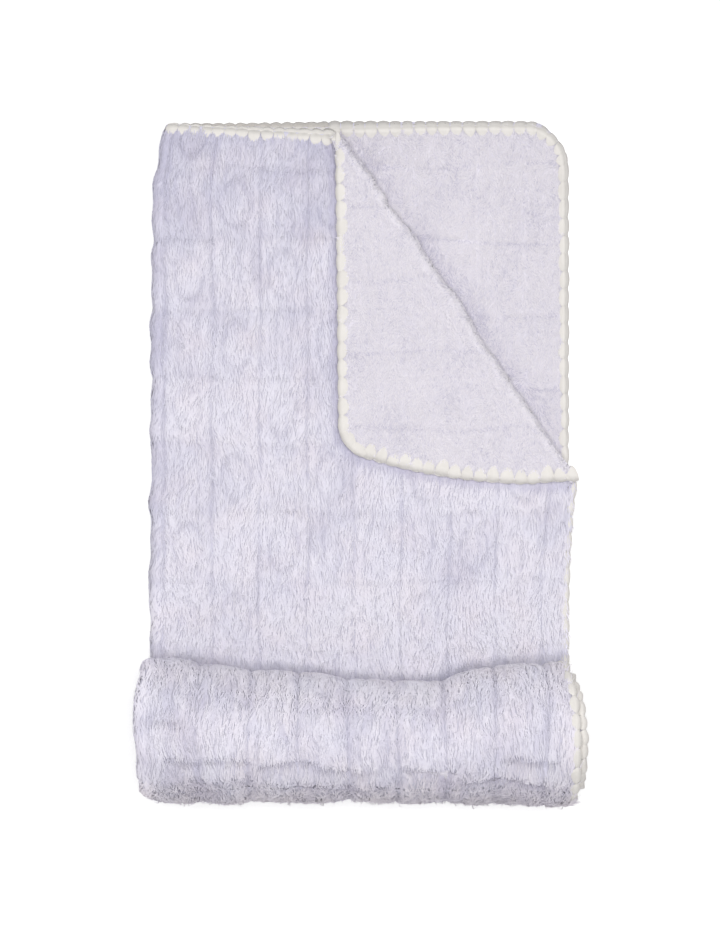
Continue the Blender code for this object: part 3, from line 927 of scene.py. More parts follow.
def strand_cells(count):
    """The bake map of strands: each has a small square, with a strip for each of its three sides."""
    side = math.ceil(math.sqrt(count))
    cell = np.arange(count)
    corner = np.stack([cell % side, cell // side], -1) / side
    size = 0.9 / side
    strips = []
    for number in range(3):
        left, right = number / 3, (number + 0.9) / 3
        centre = (left + right) / 2
        strips.append([(centre, 0.0), (right, 0.45), (left, 0.45)])
        strips.append([(centre, 1.0), (left, 0.55), (right, 0.55)])
    return corner[:, None, None, :] + np.array(strips)[None] * size


def strands(name, growth, width, place, out, material, cloth_share=CLOTH_SHARE, upward=0.0):
    """Closed spindles of six faces: a root point, a ring of three, and a tip point.

    growth holds root, middle and tip, places with one row a strand, their tones at these three, and how
    warm each strand's colour is. The ring stands across the strand, and out is the direction of height
    that leads out of the cloth.
    Normals are mostly the cloth's own, so that the pile is lit as one soft face, and are turned upwards
    by a share where light comes through the pile.
    """
    root, middle, tip, tones, warmth = growth
    run = tip[:, :2] - root[:, :2]
    run /= np.maximum(np.linalg.norm(run, axis=1, keepdims=True), 1e-9)
    side = np.stack([-run[:, 1], run[:, 0], 0 * run[:, 0]], -1) * width[:, None] / 2
    up = np.stack([0 * width, 0 * width, STRAND_HEIGHT * width * out], -1)
    flat = np.stack([root, middle - side, middle + side, middle + up, tip], 1)
    points = place(flat[..., 0], flat[..., 1], flat[..., 2])
    lifted = place(flat[..., 0], flat[..., 1], flat[..., 2] + out * NORMAL_STEP)
    outward = (lifted - points) / NORMAL_STEP
    own = points - points.mean(1, keepdims=True)
    own /= np.maximum(np.linalg.norm(own, axis=-1, keepdims=True), 1e-9)
    normals = cloth_share * outward + (1 - cloth_share) * own + np.array([0, 0, upward])
    normals = (normals / np.linalg.norm(normals, axis=-1, keepdims=True)).reshape(-1, 3)
    count = len(root)
    local = np.array([[0, 1, 3], [4, 3, 1], [0, 3, 2], [4, 2, 3], [0, 2, 1], [4, 1, 2]])
    faces = (np.arange(count) * 5)[:, None, None] + local
    from_root = np.array([0.0, 0.55, 0.55, 0.7, 1.0])
    facts = {
        "from_root": np.tile(from_root, count),
        "strand_tone_and_painted_shade": tones[:, [0, 1, 1, 1, 2]].ravel(),
        "warmth": np.repeat(np.clip(warmth, 0, 1), 5),
        "flat_place": flat.reshape(-1, 3) * np.array([1, 1, 0]),
    }
    faces = [faces.reshape(-1, 3)]
    item = mesh_object(name, points, faces, [strand_cells(count)], material, facts, 1, normals)
    return item, flat[..., 1].ravel()


def scattered(seed, low_across, high_across, low_along, high_along, density):
    """Root places on a jittered grid, with a number of strands for each square metre."""
    draw = np.random.default_rng(seed)
    gap = 1 / math.sqrt(density)
    columns = max(1, round((high_across - low_across) / gap))
    rows = max(1, round((high_along - low_along) / gap))
    i, j = np.meshgrid(np.arange(columns), np.arange(rows), indexing="ij")
    across = low_across + (i.ravel() + draw.uniform(0, 1, i.size)) / columns * (high_across - low_across)
    along = low_along + (j.ravel() + draw.uniform(0, 1, j.size)) / rows * (high_along - low_along)
    return across, along, draw


def strand_widths(draw, width, count):
    """Random widths of strands, between two shares of this width."""
    return width * draw.uniform(*WIDTH_RANGE, count)


def combed(across, along, draw, length, proud, pull, unruly, shade=0.0, tuft=TUFT_WIDTH, stray=0.0, warm=0.0):
    """Root, middle and tip places of pile that lies towards the hem and gathers in tufts of this width,
    its tones there, darker by painted shade, and its warmth, raised by warm.

    Each strand heads down the blanket, turned by a smooth field and a random part, and its tip is drawn
    towards the middle of the tuft that it grows in. Middle and tip follow the grooves that they cross.
    A stray share of the strands stands up from the others.
    """
    count = len(across)
    rise, from_column, root_tone = emboss(across, along)
    heading = 0.20 * ripple(across, along, *BROAD_HEADING_FIELD)
    heading = heading + 0.32 * ripple(across, along, *FINE_HEADING_FIELD)
    heading = heading + 0.15 * np.sign(from_column) * bell(from_column, COLUMN_VALLEY_WIDTH)
    heading = heading + unruly * draw.normal(0, 1, count)
    reach = length * draw.uniform(0.65, 1.15, count)
    column = across / tuft + 0.9 * ripple(across, along, *TUFT_COLUMN_FIELD)
    number = np.floor(column)
    stagger = hashed(number * 12.9898, 43758.5453)
    row = np.floor(along / TUFT_LENGTH + stagger + 0.5 * ripple(across, along, *TUFT_ROW_FIELD))
    wander = hashed(number * 78.233 + row * 37.719, 24634.6345)
    to_middle = (number + 0.5 + 0.25 * wander - column) * tuft
    tip_across = across + reach * np.sin(heading) + pull * to_middle
    tip_along = along + reach * np.cos(heading)
    share = draw.uniform(0.35, 0.5, count)
    middle_across = across + share * (tip_across - across) * 0.8
    middle_along = along + share * (tip_along - along)
    middle_rise, _, middle_tone = emboss(middle_across, middle_along)
    tip_rise, _, tip_tone = emboss(tip_across, tip_along)
    lift = proud * (0.8 + 0.3 * wander) * draw.uniform(0.7, 1.2, count)
    lift = lift * np.where(draw.uniform(0, 1, count) < stray, 1.6, 1)
    root = np.stack([across, along, SKIN_DEPTH - rise], -1)
    middle_height = SKIN_DEPTH - middle_rise - (SKIN_DEPTH * 0.9 + lift) * 0.95
    tip_height = SKIN_DEPTH - tip_rise - (SKIN_DEPTH * 0.8 + lift * draw.uniform(0.5, 1.1, count))
    middle = np.stack([middle_across, middle_along, middle_height], -1)
    tip = np.stack([tip_across, tip_along, tip_height], -1)
    own = PILE_TONE - shade + TUFT_TONE * (1 + 30 * stray) * wander + draw.normal(0, STRAND_TONE, count)
    tones = np.clip(own[:, None] + np.stack([root_tone, middle_tone, tip_tone], -1), 0, 1)
    warmth = warm + WARM_PATCHES * (0.5 + ripple(across, along, *WARMTH_FIELD)) + 0 * across
    return root, middle, tip, tones, warmth


def fuzzy(x, y, flat_of, draw, valley=0.0, shade=0.0, calm=1.0, stand=1.0):
    """Root, middle, tip, tones and warmth of the lining's short fuzz, which swirls in patches and lies
    nearly flat. flat_of gives where a place lies on the flat cloth, calm is the share kept of the
    relief, and stand how many times as high the fuzz rises as on flat cloth. valley sinks it, shade
    darkens it as painted shade, and its tones also hold painted shade along the lining's lines and the
    plush's grooves."""
    heading = 1.1 * ripple(x, y, *FUZZ_HEADING_FIELD) + draw.normal(0, 0.5, len(x))
    reach = FUZZ_LENGTH * draw.uniform(0.6, 1.3, len(x))
    lift = FUZZ_PROUD * draw.uniform(0.4, 1.4, len(x)) * stand
    patch = 0.16 * ripple(x, y, *FINE_FUZZ_FIELD) + 0.20 * ripple(x, y, *BROAD_FUZZ_FIELD)
    own = FUZZ_TONE + patch - shade + draw.normal(0, FUZZ_SPREAD, len(x))
    places, tones = [], []
    for share, height in ((0.0, -0.2 * MM + 0 * lift), (0.45, lift), (1.0, 0.6 * lift)):
        here_x = x + share * reach * np.sin(heading)
        here_y = y + share * reach * np.cos(heading)
        relief, line = lining_relief(*flat_of(here_x, here_y))
        places.append(np.stack([here_x, here_y, LINING_FACE + relief * calm - valley + height], -1))
        # Painted shade along the lining's lines and the plush's grooves
        tones.append(own - FUZZ_PAINTED_SHADE_AND_TONE * line)
    return (*places, np.clip(np.stack(tones, -1), 0, 1), 0 * own)


def feed(tree, socket, value):
    """Links a socket to another, or sets it to a number or a colour."""
    if isinstance(value, bpy.types.NodeSocket):
        tree.links.new(value, socket)
    else:
        socket.default_value = value


def group_node(tree, group, values):
    """A node that holds a group, its inputs set from values: a number, a colour or a socket."""
    node = tree.nodes.new("ShaderNodeGroup")
    node.node_tree = group
    for name, value in values.items():
        feed(tree, node.inputs[name], value)
    return node


def new_group(name, inputs, outputs):
    """A new node group with these sockets, and its input and output nodes."""
    group = bpy.data.node_groups.new(name, "ShaderNodeTree")
    for socket, kind in inputs.items():
        group.interface.new_socket(socket, in_out="INPUT", socket_type=kind)
    for socket, kind in outputs.items():
        group.interface.new_socket(socket, in_out="OUTPUT", socket_type=kind)
    return group, group.nodes.new("NodeGroupInput"), group.nodes.new("NodeGroupOutput")


def math_node(tree, operation, *values):
    """The result of a sum on numbers or sockets."""
    node = tree.nodes.new("ShaderNodeMath")
    node.operation = operation
    for socket, value in zip(node.inputs, values):
        feed(tree, socket, value)
    return node.outputs[0]


def mixed(tree, factor, first, second, way="MIX"):
    """Two colours mixed by a factor."""
    node = tree.nodes.new("ShaderNodeMix")
    node.data_type = "RGBA"
    node.blend_type = way
    for socket, value in (("Factor", factor), (6, first), (7, second)):
        feed(tree, node.inputs[socket], value)
    return node.outputs[2]


def noise(tree, place, scale, detail, stretch):
    """Noise on flat places, drawn out by stretch along each axis."""
    mapping = tree.nodes.new("ShaderNodeMapping")
    mapping.inputs["Scale"].default_value = stretch
    tree.links.new(place, mapping.inputs["Vector"])
    texture = tree.nodes.new("ShaderNodeTexNoise")
    texture.inputs["Scale"].default_value = scale
    texture.inputs["Detail"].default_value = detail
    tree.links.new(mapping.outputs[0], texture.inputs["Vector"])
    return texture.outputs["Fac"]


def mottling_group():
    """Soft patches of a lighter and a darker colour over the cloth."""
    inputs = {"Place": "NodeSocketVector", "Light": "NodeSocketColor", "Shade": "NodeSocketColor"}
    group, start, end = new_group("Cloth mottling", inputs, {"Colour": "NodeSocketColor"})
    broad = noise(group, start.outputs["Place"], BROAD_MOTTLING_SCALE, 2, (1, 1, 1))
    fine = noise(group, start.outputs["Place"], FINE_MOTTLING_SCALE, 3, (1, 0.45, 1))
    broad_part = math_node(group, "MULTIPLY", broad, 0.6)
    fine_part = math_node(group, "MULTIPLY", fine, 0.7)
    total = math_node(group, "ADD", broad_part, fine_part)
    spread = math_node(group, "MULTIPLY_ADD", total, 1.8, -0.67)
    limited = math_node(group, "MINIMUM", math_node(group, "MAXIMUM", spread, 0.0), 1.0)
    colour = mixed(group, limited, start.outputs["Shade"], start.outputs["Light"])
    group.links.new(colour, end.inputs["Colour"])
    return group


def fibre_group():
    """Fine fibres that lie along the blanket, as a height for bump."""
    inputs = {"Place": "NodeSocketVector", "Drawn out": "NodeSocketFloat"}
    group, start, end = new_group("Fibre grain", inputs, {"Height": "NodeSocketFloat"})
    shrink = group.nodes.new("ShaderNodeCombineXYZ")
    shrink.inputs["X"].default_value = 1.0
    shrink.inputs["Z"].default_value = 1.0
    group.links.new(start.outputs["Drawn out"], shrink.inputs["Y"])
    scaled = group.nodes.new("ShaderNodeVectorMath")
    scaled.operation = "MULTIPLY"
    group.links.new(start.outputs["Place"], scaled.inputs[0])
    group.links.new(shrink.outputs[0], scaled.inputs[1])
    coarse = noise(group, scaled.outputs[0], COARSE_FIBRE_SCALE, 2, (1, 1, 1))
    fine = noise(group, scaled.outputs[0], FINE_FIBRE_SCALE, 2, (1, 1, 1))
    total = math_node(group, "MULTIPLY_ADD", fine, 0.5, coarse)
    group.links.new(total, end.inputs["Height"])
    return group


def attribute(tree, name, output):
    """A value that the mesh holds at its points."""
    node = tree.nodes.new("ShaderNodeAttribute")
    node.attribute_name = name
    return node.outputs[output]


def finish_material(name, colours, roughness, sheen):
    """A new material with its Principled shader, ready for its colour nodes."""
    material = bpy.data.materials.new(name)
    material.use_nodes = True
    material.diffuse_color = colours
    shader = material.node_tree.nodes["Principled BSDF"]
    shader.inputs["Roughness"].default_value = roughness
    shader.inputs["Sheen Weight"].default_value = sheen
    shader.inputs["Sheen Roughness"].default_value = SHEEN_ROUGHNESS
    shader.inputs["Specular IOR Level"].default_value = SPECULAR
    return material, material.node_tree, shader


def grained_material(name, light, shade, roughness, drawn_out, strength, distance):
    """Mottled cloth or yarn with a bump of fine fibres, drawn out along the blanket by a share."""
    material, tree, shader = finish_material(name, light, roughness, CLOTH_SHEEN)
    place = attribute(tree, "flat_place", "Vector")
    colour = group_node(tree, MOTTLING, {"Place": place, "Light": light, "Shade": shade})
    tree.links.new(colour.outputs["Colour"], shader.inputs["Base Color"])
    grain = group_node(tree, FIBRES, {"Place": place, "Drawn out": drawn_out})
    bump = tree.nodes.new("ShaderNodeBump")
    bump.inputs["Strength"].default_value = strength
    bump.inputs["Distance"].default_value = distance
    tree.links.new(grain.outputs["Height"], bump.inputs["Height"])
    tree.links.new(bump.outputs["Normal"], shader.inputs["Normal"])
    return material


def pile_material(name, root, light, shade, deep):
    """Strands with painted shade at their roots, and a tone that leads from a dark colour over the cloth's
    soft patches to light: low tones come from painted shade and random tone, high ones from random tone
    and painted light. A warmer tint goes where their warmth says."""
    material, tree, shader = finish_material(name, light, PILE_ROUGHNESS, PILE_SHEEN)
    place = attribute(tree, "flat_place", "Vector")
    patches = group_node(tree, MOTTLING, {"Place": place, "Light": light, "Shade": shade})
    tone = attribute(tree, "strand_tone_and_painted_shade", "Fac")
    lower = math_node(tree, "MINIMUM", math_node(tree, "MULTIPLY", tone, 2.0), 1.0)
    upper = math_node(tree, "MAXIMUM", math_node(tree, "MULTIPLY_ADD", tone, 2.0, -1.0), 0.0)
    # Low tones lead to the dark colour: painted shade, and low random tone
    toned = mixed(tree, upper, mixed(tree, lower, deep, patches.outputs["Colour"]), light)
    rise = attribute(tree, "from_root", "Fac")
    # The strand's root end takes the root colour: painted shade at the roots
    colour = mixed(tree, math_node(tree, "POWER", rise, 0.7), root, toned)
    warmed = mixed(tree, attribute(tree, "warmth", "Fac"), colour, WARM_TINT, "MULTIPLY")
    tree.links.new(warmed, shader.inputs["Base Color"])
    return material


MOTTLING = mottling_group()
FIBRES = fibre_group()
PLUSH = grained_material(
    "plush_cloth",
    light=(0.76, 0.74, 0.86, 1),
    shade=(0.69, 0.675, 0.82, 1),
    drawn_out=0.22,
    **CLOTH_FINISH,
)
LINING = grained_material(
    "lining_cloth",
    light=(0.86, 0.82, 0.88, 1),
    shade=(0.77, 0.74, 0.84, 1),
    drawn_out=0.8,
    **CLOTH_FINISH,
)
FUZZ = pile_material(
    "lining_fuzz",
    root=(0.80, 0.765, 0.86, 1),
    light=(0.93, 0.89, 0.94, 1),
    shade=(0.81, 0.78, 0.87, 1),
    deep=(0.58, 0.555, 0.68, 1),
)
PILE = pile_material(
    "plush_pile",
    root=(0.81, 0.79, 0.91, 1),
    light=(0.89, 0.865, 0.94, 1),
    shade=(0.81, 0.79, 0.905, 1),
    deep=(0.53, 0.515, 0.66, 1),
)
# A darker copy of the yarn: painted shade on the back half's top rims, which lie below the front half's edge
YARN_IN_PAINTED_SHADE = grained_material(
    "edging_yarn_painted_shade", light=(0.60, 0.57, 0.54, 1), shade=(0.50, 0.475, 0.45, 1), **YARN_FINISH
)
YARN = grained_material(
    "edging_yarn", light=(0.85, 0.82, 0.785, 1), shade=(0.75, 0.72, 0.685, 1), **YARN_FINISH
)


def roll_ranges():
    """Each roll piece's name ending, its first and last bend, and the names of the bodies before and after
    it.

    A piece reaches from the middle of one strip to the middle of the next, over their hinge.
    """
    for number in range(1, STRIP_COUNT + 1):
        first = (number - 1) * STRIP_BEND
        last = LAST_BEND if number == STRIP_COUNT else first + STRIP_BEND
        before = "laid_blanket" if number == 1 else "roll_strip_%02d" % (number - 1)
        yield number, first, last, before, "roll_strip_%02d" % number


def bent(item, first):
    """Bakes a piece's place into its mesh. Where this stretch of the roll starts and ends is worked out
    but not used."""
    start = rolled(np.array(0.0), np.array(along_at(first)), np.array(0.0))
    end = rolled(np.array(0.0), np.array(along_at(first + STRIP_BEND)), np.array(0.0))
    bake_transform(item)


def cloth_points(along):
    """The distance from the top edge of each point of a closed cloth, in the order of its mesh."""
    return np.concatenate([along.ravel(), along[::3, ::3].ravel()])


def add_cloths():
    """The plush and the lining on the laid blanket and on each strip of the roll."""
    start = EDGE_INSET
    flat = panel_grid(start, FLAT_LENGTH, FINE_GRID, FINE_GRID, COARSE_GRID)
    plush = plush_skin("laid_plush_cloth", *flat, blanket_place, flat)
    flat = panel_grid(start, FLAT_LENGTH, LINING_GRID, HIDDEN_GRID, LINING_GRID)
    valley = VALLEY_DEPTH * beside_crease(*flat) * (flat[0] > 0)
    lining = lining_skin("laid_lining_cloth", *flat, blanket_place, flat, valley)
    for item in (plush, lining):
        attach(item, "laid_blanket")
    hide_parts("laid_plush")
    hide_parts("laid_lining")
    for number, first, last, before, after in roll_ranges():
        low, high = along_at(first), along_at(last)
        end = high - EDGE_INSET if number == STRIP_COUNT else high
        fine = FINE_GRID if number <= OUTER_STRIPS else COARSE_GRID
        flat = panel_grid(low, end, FINE_GRID, COARSE_GRID, fine)
        plush = plush_skin("roll_plush_cloth_%02d" % number, *flat, blanket_place, flat)
        bent(plush, first)
        flat = panel_grid(low, end, HIDDEN_GRID, HIDDEN_GRID, HIDDEN_GRID)
        lining = lining_skin("roll_lining_cloth_%02d" % number, *flat, blanket_place, flat)
        bent(lining, first)
        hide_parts("roll_plush_%02d" % number)
        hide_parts("roll_lining_%02d" % number)


def corner_outline():
    """The turned corner's stitched edge in x and y: its left side, an arc, and the lower edge's curve."""
    corner = np.array([CREASE_TOP[0] + CORNER_LEAN, CREASE_SIDE[1] + CORNER_LIFT])
    downwards = (corner - CREASE_TOP) / np.linalg.norm(corner - CREASE_TOP)
    leaving = np.array([math.cos(LOWER_EDGE_SLOPE), -math.sin(LOWER_EDGE_SLOPE)])
    turn = math.acos(float(downwards @ leaving))
    start = corner - downwards * TURNED_CORNER_RADIUS * math.tan(turn / 2)
    centre = start + np.array([-downwards[1], downwards[0]]) * TURNED_CORNER_RADIUS
    side_steps = np.linspace(0, 1, 70)[:-1, None]
    side = CREASE_TOP + (start - CREASE_TOP) * side_steps
    angles = turn * np.linspace(0, 1, 24)[:-1, None]
    spoke = start - centre
    arc = centre + np.cos(angles) * spoke + np.sin(angles) * np.array([-spoke[1], spoke[0]])
    begin = centre + math.cos(turn) * spoke + math.sin(turn) * np.array([-spoke[1], spoke[0]])
    middle_x = begin[0] + (CREASE_SIDE[0] - begin[0]) * DIP_SHARE
    middle = np.array([middle_x, CREASE_SIDE[1] - LOWER_EDGE_DIP])
    t = np.linspace(0, 1, CORNER_FOOT_POINTS)[:, None]
    lower = begin * (1 - t) ** 2 + middle * 2 * t * (1 - t) + CREASE_SIDE * t**2
    return np.concatenate([side, arc, lower])


def travelled_along(path):
    """The distance travelled along a path up to each of its points."""
    return np.concatenate([[0], np.cumsum(np.linalg.norm(np.diff(path, axis=0), axis=1))])


def inward_normals(path):
    """Unit normals to the left of a path, which is the cloth's side of a stitched edge."""
    run = np.gradient(path, axis=0)
    run /= np.linalg.norm(run, axis=1, keepdims=True)
    return np.stack([-run[:, 1], run[:, 0]], -1)


def crease_ends(around):
    """Where the bend's cloth begins and ends along the crease, for each place around it."""
    slant = CREASE_LINE[0] / -CREASE_LINE[1]
    before = np.maximum(CREASE_STRIP - around, 0)
    after = np.clip(around - CREASE_STRIP - CREASE_ARC, 0, CREASE_STRIP)
    first = 1.5 * EDGE_INSET + before * slant + 1.14 * after / slant
    last = CREASE_LENGTH - 1.5 * EDGE_INSET - 0.9 * after - CREASE_END_DRAW * outermost(around)
    return first, last


def from_crease(outline):
    """The points of an outline as distances along the crease and depths from it."""
    return (outline - CREASE_TOP) @ CREASE_LINE, -(outline - CREASE_TOP) @ CREASE_OUT


def corner_grid(spacing):
    """A grid over the turned corner: its columns run from the crease to the stitched edge."""
    outline = corner_outline()
    outline = outline + inward_normals(outline) * EDGE_INSET
    distance, depth = from_crease(outline)
    keep = depth > CREASE_STRIP
    first, last = crease_ends(np.array(CREASE_WIDTH))
    steps = evenly(0, 1, spacing / CREASE_LENGTH)
    travelled = travelled_along(outline[keep])
    travelled /= travelled[-1]
    far = [np.interp(steps, travelled, values[keep]) for values in (distance, depth)]
    far = np.stack(far, -1)
    near = np.stack([first + (last - first) * steps, np.full(len(steps), CREASE_STRIP)], -1)
    share = evenly(0, 1, spacing / float(depth.max()))
    grid = near[:, None] + (far - near)[:, None] * share[None, :, None]
    return crease_point(grid[..., 0], -grid[..., 1])


def add_turned_corner():
    """The turned corner's two cloths."""
    for name, spacing, make, flat_of, node, slot in (
        ("corner_plush_cloth", COARSE_GRID, plush_skin, corner_flat, "corner_plush", "outer_plush"),
        ("corner_lining_cloth", FINE_GRID, lining_skin, corner_print, "corner_lining", "lining"),
    ):
        x, y = corner_grid(spacing)
        item = make(name, x, y, turned_place, flat_of(x, y))
        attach(item, "turned_corner")
        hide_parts(node)


def bent_at_crease(item, around):
    """Bakes a piece's place into its mesh."""
    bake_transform(item)


def add_crease():
    """The two cloths' bend along the crease, with a strip of each side."""
    around = np.concatenate([
        np.linspace(0, CREASE_STRIP, 4)[:-1],
        np.linspace(CREASE_STRIP, CREASE_STRIP + CREASE_ARC, CREASE_STEPS + 1)[:-1],
        np.linspace(CREASE_STRIP + CREASE_ARC, CREASE_WIDTH, 4)[:-1],
        np.linspace(CREASE_WIDTH, CREASE_WIDTH + CREASE_TUCK, 4),
    ])
    first, last = crease_ends(around)
    steps = evenly(0, 1, FINE_GRID / CREASE_LENGTH)
    distance = first[:, None] + (last - first)[:, None] * steps
    grid_around = around[:, None] + 0 * distance
    flat = crease_flat(distance, grid_around - CREASE_STRIP)
    printed = lining_print(distance, grid_around)
    for name, make, flat, node, slot in (
        ("crease_plush_cloth", plush_skin, flat, "crease_plush", "outer_plush"),
        ("crease_lining_cloth", lining_skin, printed, "crease_lining", "lining"),
    ):
        item = make(name, distance, grid_around, crease_place, flat, calm=crease_calm(grid_around))
        bent_at_crease(item, cloth_points(grid_around))
        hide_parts(node)


def open_to_air(bend):
    """1 where the roll's pile stands free, falling to 0 where the next turn or the front half presses it."""
    return smooth(bend, *ROLL_OPENS) * (1 - smooth(bend, *ROLL_CLOSES))


def corner_cover(x, y):
    """How far inside the turned corner's stitched edge a point lies, measured square to the crease."""
    edge_distance, edge_depth = from_crease(corner_outline())
    distance, depth = crease_frame(x, y)
    return np.interp(distance, edge_distance, edge_depth) - np.abs(depth)


def add_front_pile():
    """The long pile of the front half, in bands from the top edge down to the roll."""
    limits = np.linspace(PILE_START, FLAT_LENGTH, FRONT_PILE_BANDS + 1)
    for band in range(FRONT_PILE_BANDS):
        sides = (-FRONT_HALF + PILE_INSET, PILE_PAST_FOLD)
        across, along, draw = scattered(FRONT_PILE_SEED + band, *sides, *limits[band:band + 2], FREE_PILE)
        shown = -across < front_limit(along, 0)
        across, along = across[shown], along[shown]
        x, y = FOLD_CENTRE_X - across - FOLD_REACH, TOP_Y - along
        below = roll_top_shift(x) + along
        under_roll = smooth(below, *UNDER_ROLL)
        near_roll = smooth(below, *NEAR_ROLL)
        cover = corner_cover(x, y)
        under_corner = smooth(cover, *UNDER_CORNER)
        near_corner = smooth(cover, *NEAR_CORNER) ** 2 * (1 - 0.8 * smooth(cover, 0, INSIDE_CORNER))
        near_fold = 1 - smooth(-across, *NEAR_FOLD)
        near_top = TOP_SHADE_NEAR * np.exp(-along / TOP_SHADE_FADE)
        near_top = near_top + TOP_SHADE_FAR * (1 - smooth(along, *TOP_SHADE_ALONG))
        fringe = smooth(along, *FRINGE)
        proud = PILE_PROUD * (1 + 0.9 * fringe) * (1 - 1.4 * under_roll) * (1 - 0.8 * near_fold)
        proud = proud * (1 - under_corner) + PRESSED_PROUD * under_corner
        # Painted shade beside the turned corner, above the roll, along the left fold and below the top edge,
        # and painted light on the fringe
        shade = CORNER_SHADE * near_corner + ROLL_SHADE * near_roll + FOLD_SHADE * near_fold
        shade = shade + near_top - FRINGE_LIGHT * fringe
        growth = combed(across, along, draw, PILE_LENGTH, proud, 0.20 + 0.42 * fringe, 0.15, shade)
        width = strand_widths(draw, PILE_WIDTH, len(across))
        name = "front_pile_%d" % (band + 1)
        item, _ = strands(name, growth, width, blanket_place, -1, PILE, upward=FRONT_PILE_UPWARD)
        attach(item, "laid_blanket")


def add_underside_pile():
    """The pressed pile below the back half."""
    sides = (PILE_PAST_FOLD, BACK_HALF - PILE_INSET)
    across, along, draw = scattered(UNDERSIDE_PILE_SEED, *sides, PILE_START, FLAT_LENGTH, PRESSED_PILE)
    inside = across < side_limit(along, BACK_HALF) - PRESSED_INSET
    across, along = across[inside], along[inside]
    growth = combed(across, along, draw, PILE_LENGTH, PRESSED_PROUD + 0 * across, 0.6, 0.2)
    width = strand_widths(draw, PRESSED_WIDTH, len(across))
    item, _ = strands("underside_pile", growth, width, blanket_place, -1, PILE)
    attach(item, "laid_blanket")


def add_roll_pile():
    """The roll's pile: free on its outer turn, which is the back half, and pressed inside."""
    for number, first, last, before, after in roll_ranges():
        low, high = along_at(first), along_at(last)
        outer_turn = number <= OUTER_STRIPS
        parts = []
        for half, limit in ((-1, FRONT_HALF), (1, BACK_HALF)):
            free = outer_turn and half > 0
            sides = sorted((0.0, half * (limit - PILE_INSET)))
            density = FREE_PILE if free else PRESSED_PILE
            seed = ROLL_PILE_SEED + 2 * number + half
            across, along, draw = scattered(seed, *sides, low, high, density)
            inside = np.abs(across) < side_limit(along, limit) - (EDGE_INSET if free else PRESSED_INSET)
            across, along = across[inside], along[inside]
            bend = bend_at(along)
            share = open_to_air(bend) if free else 0 * bend
            proud = ROLL_PROUD * share + PRESSED_PROUD * (1 - share)
            low_down = share * (1 - smooth(bend, *LOW_DOWN_ENDS))
            from_fold = smooth(np.abs(across), *OFF_FOLD)
            tufty = share * smooth(bend, *TUFTS_START) * (1 - smooth(bend, *TUFTS_END))
            proud = proud * (1 + 3.2 * low_down + 1.9 * tufty) * (0.35 + 0.65 * from_fold)
            unruly = 0.14 + 0.45 * low_down * from_fold + 0.12 * tufty
            # Painted shade on the roll's low side and on its tufted upper side
            shade = (0.05 * tufty + 0.12 * low_down) * share
            stray = (0.02 + 0.03 * low_down) * share
            warm = 0.15 * share + 0.7 * low_down
            width = strand_widths(draw, PILE_WIDTH if free else PRESSED_WIDTH, len(across))
            pull = 0.34 + 0.35 * low_down + 0.3 * tufty
            growth = combed(
                across, along, draw, PILE_LENGTH, proud, pull, unruly, shade, ROLL_TUFT_WIDTH, stray, warm
            )
            parts.append((*growth, width))
        *growth, width = [np.concatenate(values) for values in zip(*parts)]
        name = "roll_pile_%02d" % number
        item, along = strands(name, growth, width, blanket_place, -1, PILE, upward=ROLL_PILE_UPWARD)
        bent(item, first)


def add_corner_pile():
    """The pressed pile below the turned corner, and the fuzz of its lining."""
    edge_distance, edge_depth = from_crease(corner_outline())
    for name, density, seed, margin in (
        ("corner_pile", CORNER_PILE, CORNER_PILE_SEED, PRESSED_INSET),
        ("corner_fuzz", FUZZ_DENSITY, CORNER_FUZZ_SEED, FUZZ_INSET),
    ):
        distance, depth, draw = scattered(seed, 0, CREASE_LENGTH, 0, float(edge_depth.max()), density)
        inside = depth < np.interp(distance, edge_distance, edge_depth) - margin
        if name == "corner_pile":
            reach = 1.3 * PILE_LENGTH
            tip_distance = distance - reach * CREASE_LINE[1]
            tip_depth = depth + reach * CREASE_OUT[1]
            inside &= tip_depth < np.interp(tip_distance, edge_distance, edge_depth) - PRESSED_INSET
            inside &= tip_distance < CREASE_LENGTH - 6 * MM
        distance, depth = distance[inside], depth[inside]
        x, y = crease_point(distance, -depth)
        if name == "corner_pile":
            width = strand_widths(draw, PRESSED_WIDTH, len(x))
            growth = combed(x, y, draw, -PILE_LENGTH, PRESSED_PROUD + 0 * x, 0.5, 0.2)
            item, _ = strands(name, growth, width, turned_place, -1, PILE)
        else:
            width = strand_widths(draw, FUZZ_WIDTH, len(x))
            growth = fuzzy(x, y, corner_print, draw)
            item, _ = strands(name, growth, width, turned_place, 1, FUZZ, FUZZ_CLOTH_SHARE)
        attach(item, "turned_corner")


def add_back_fuzz():
    """The fuzz of the back half's lining, beside the crease, where it shows."""
    low = FOLD_REACH + CREASE_TOP[0] - FOLD_CENTRE_X - 6 * MM
    rows = (PILE_START, CREASE_DROP + 6 * MM)
    across, along, draw = scattered(BACK_FUZZ_SEED, low, BACK_HALF, *rows, FUZZ_DENSITY)
    past_crease = across + 8 * MM > front_limit(along, 0)
    inside = (across < side_limit(along, BACK_HALF) - FUZZ_INSET) & past_crease
    across, along = across[inside], along[inside]
    width = strand_widths(draw, FUZZ_WIDTH, len(across))
    near = beside_crease(across, along)
    # The fuzz beside the crease is darkened as painted shadow
    growth = fuzzy(across, along, lambda a, b: (a, b), draw, VALLEY_DEPTH * near, VALLEY_SHADE * near)
    item, _ = strands("back_fuzz", growth, width, blanket_place, 1, FUZZ, FUZZ_CLOTH_SHARE)
    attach(item, "laid_blanket")


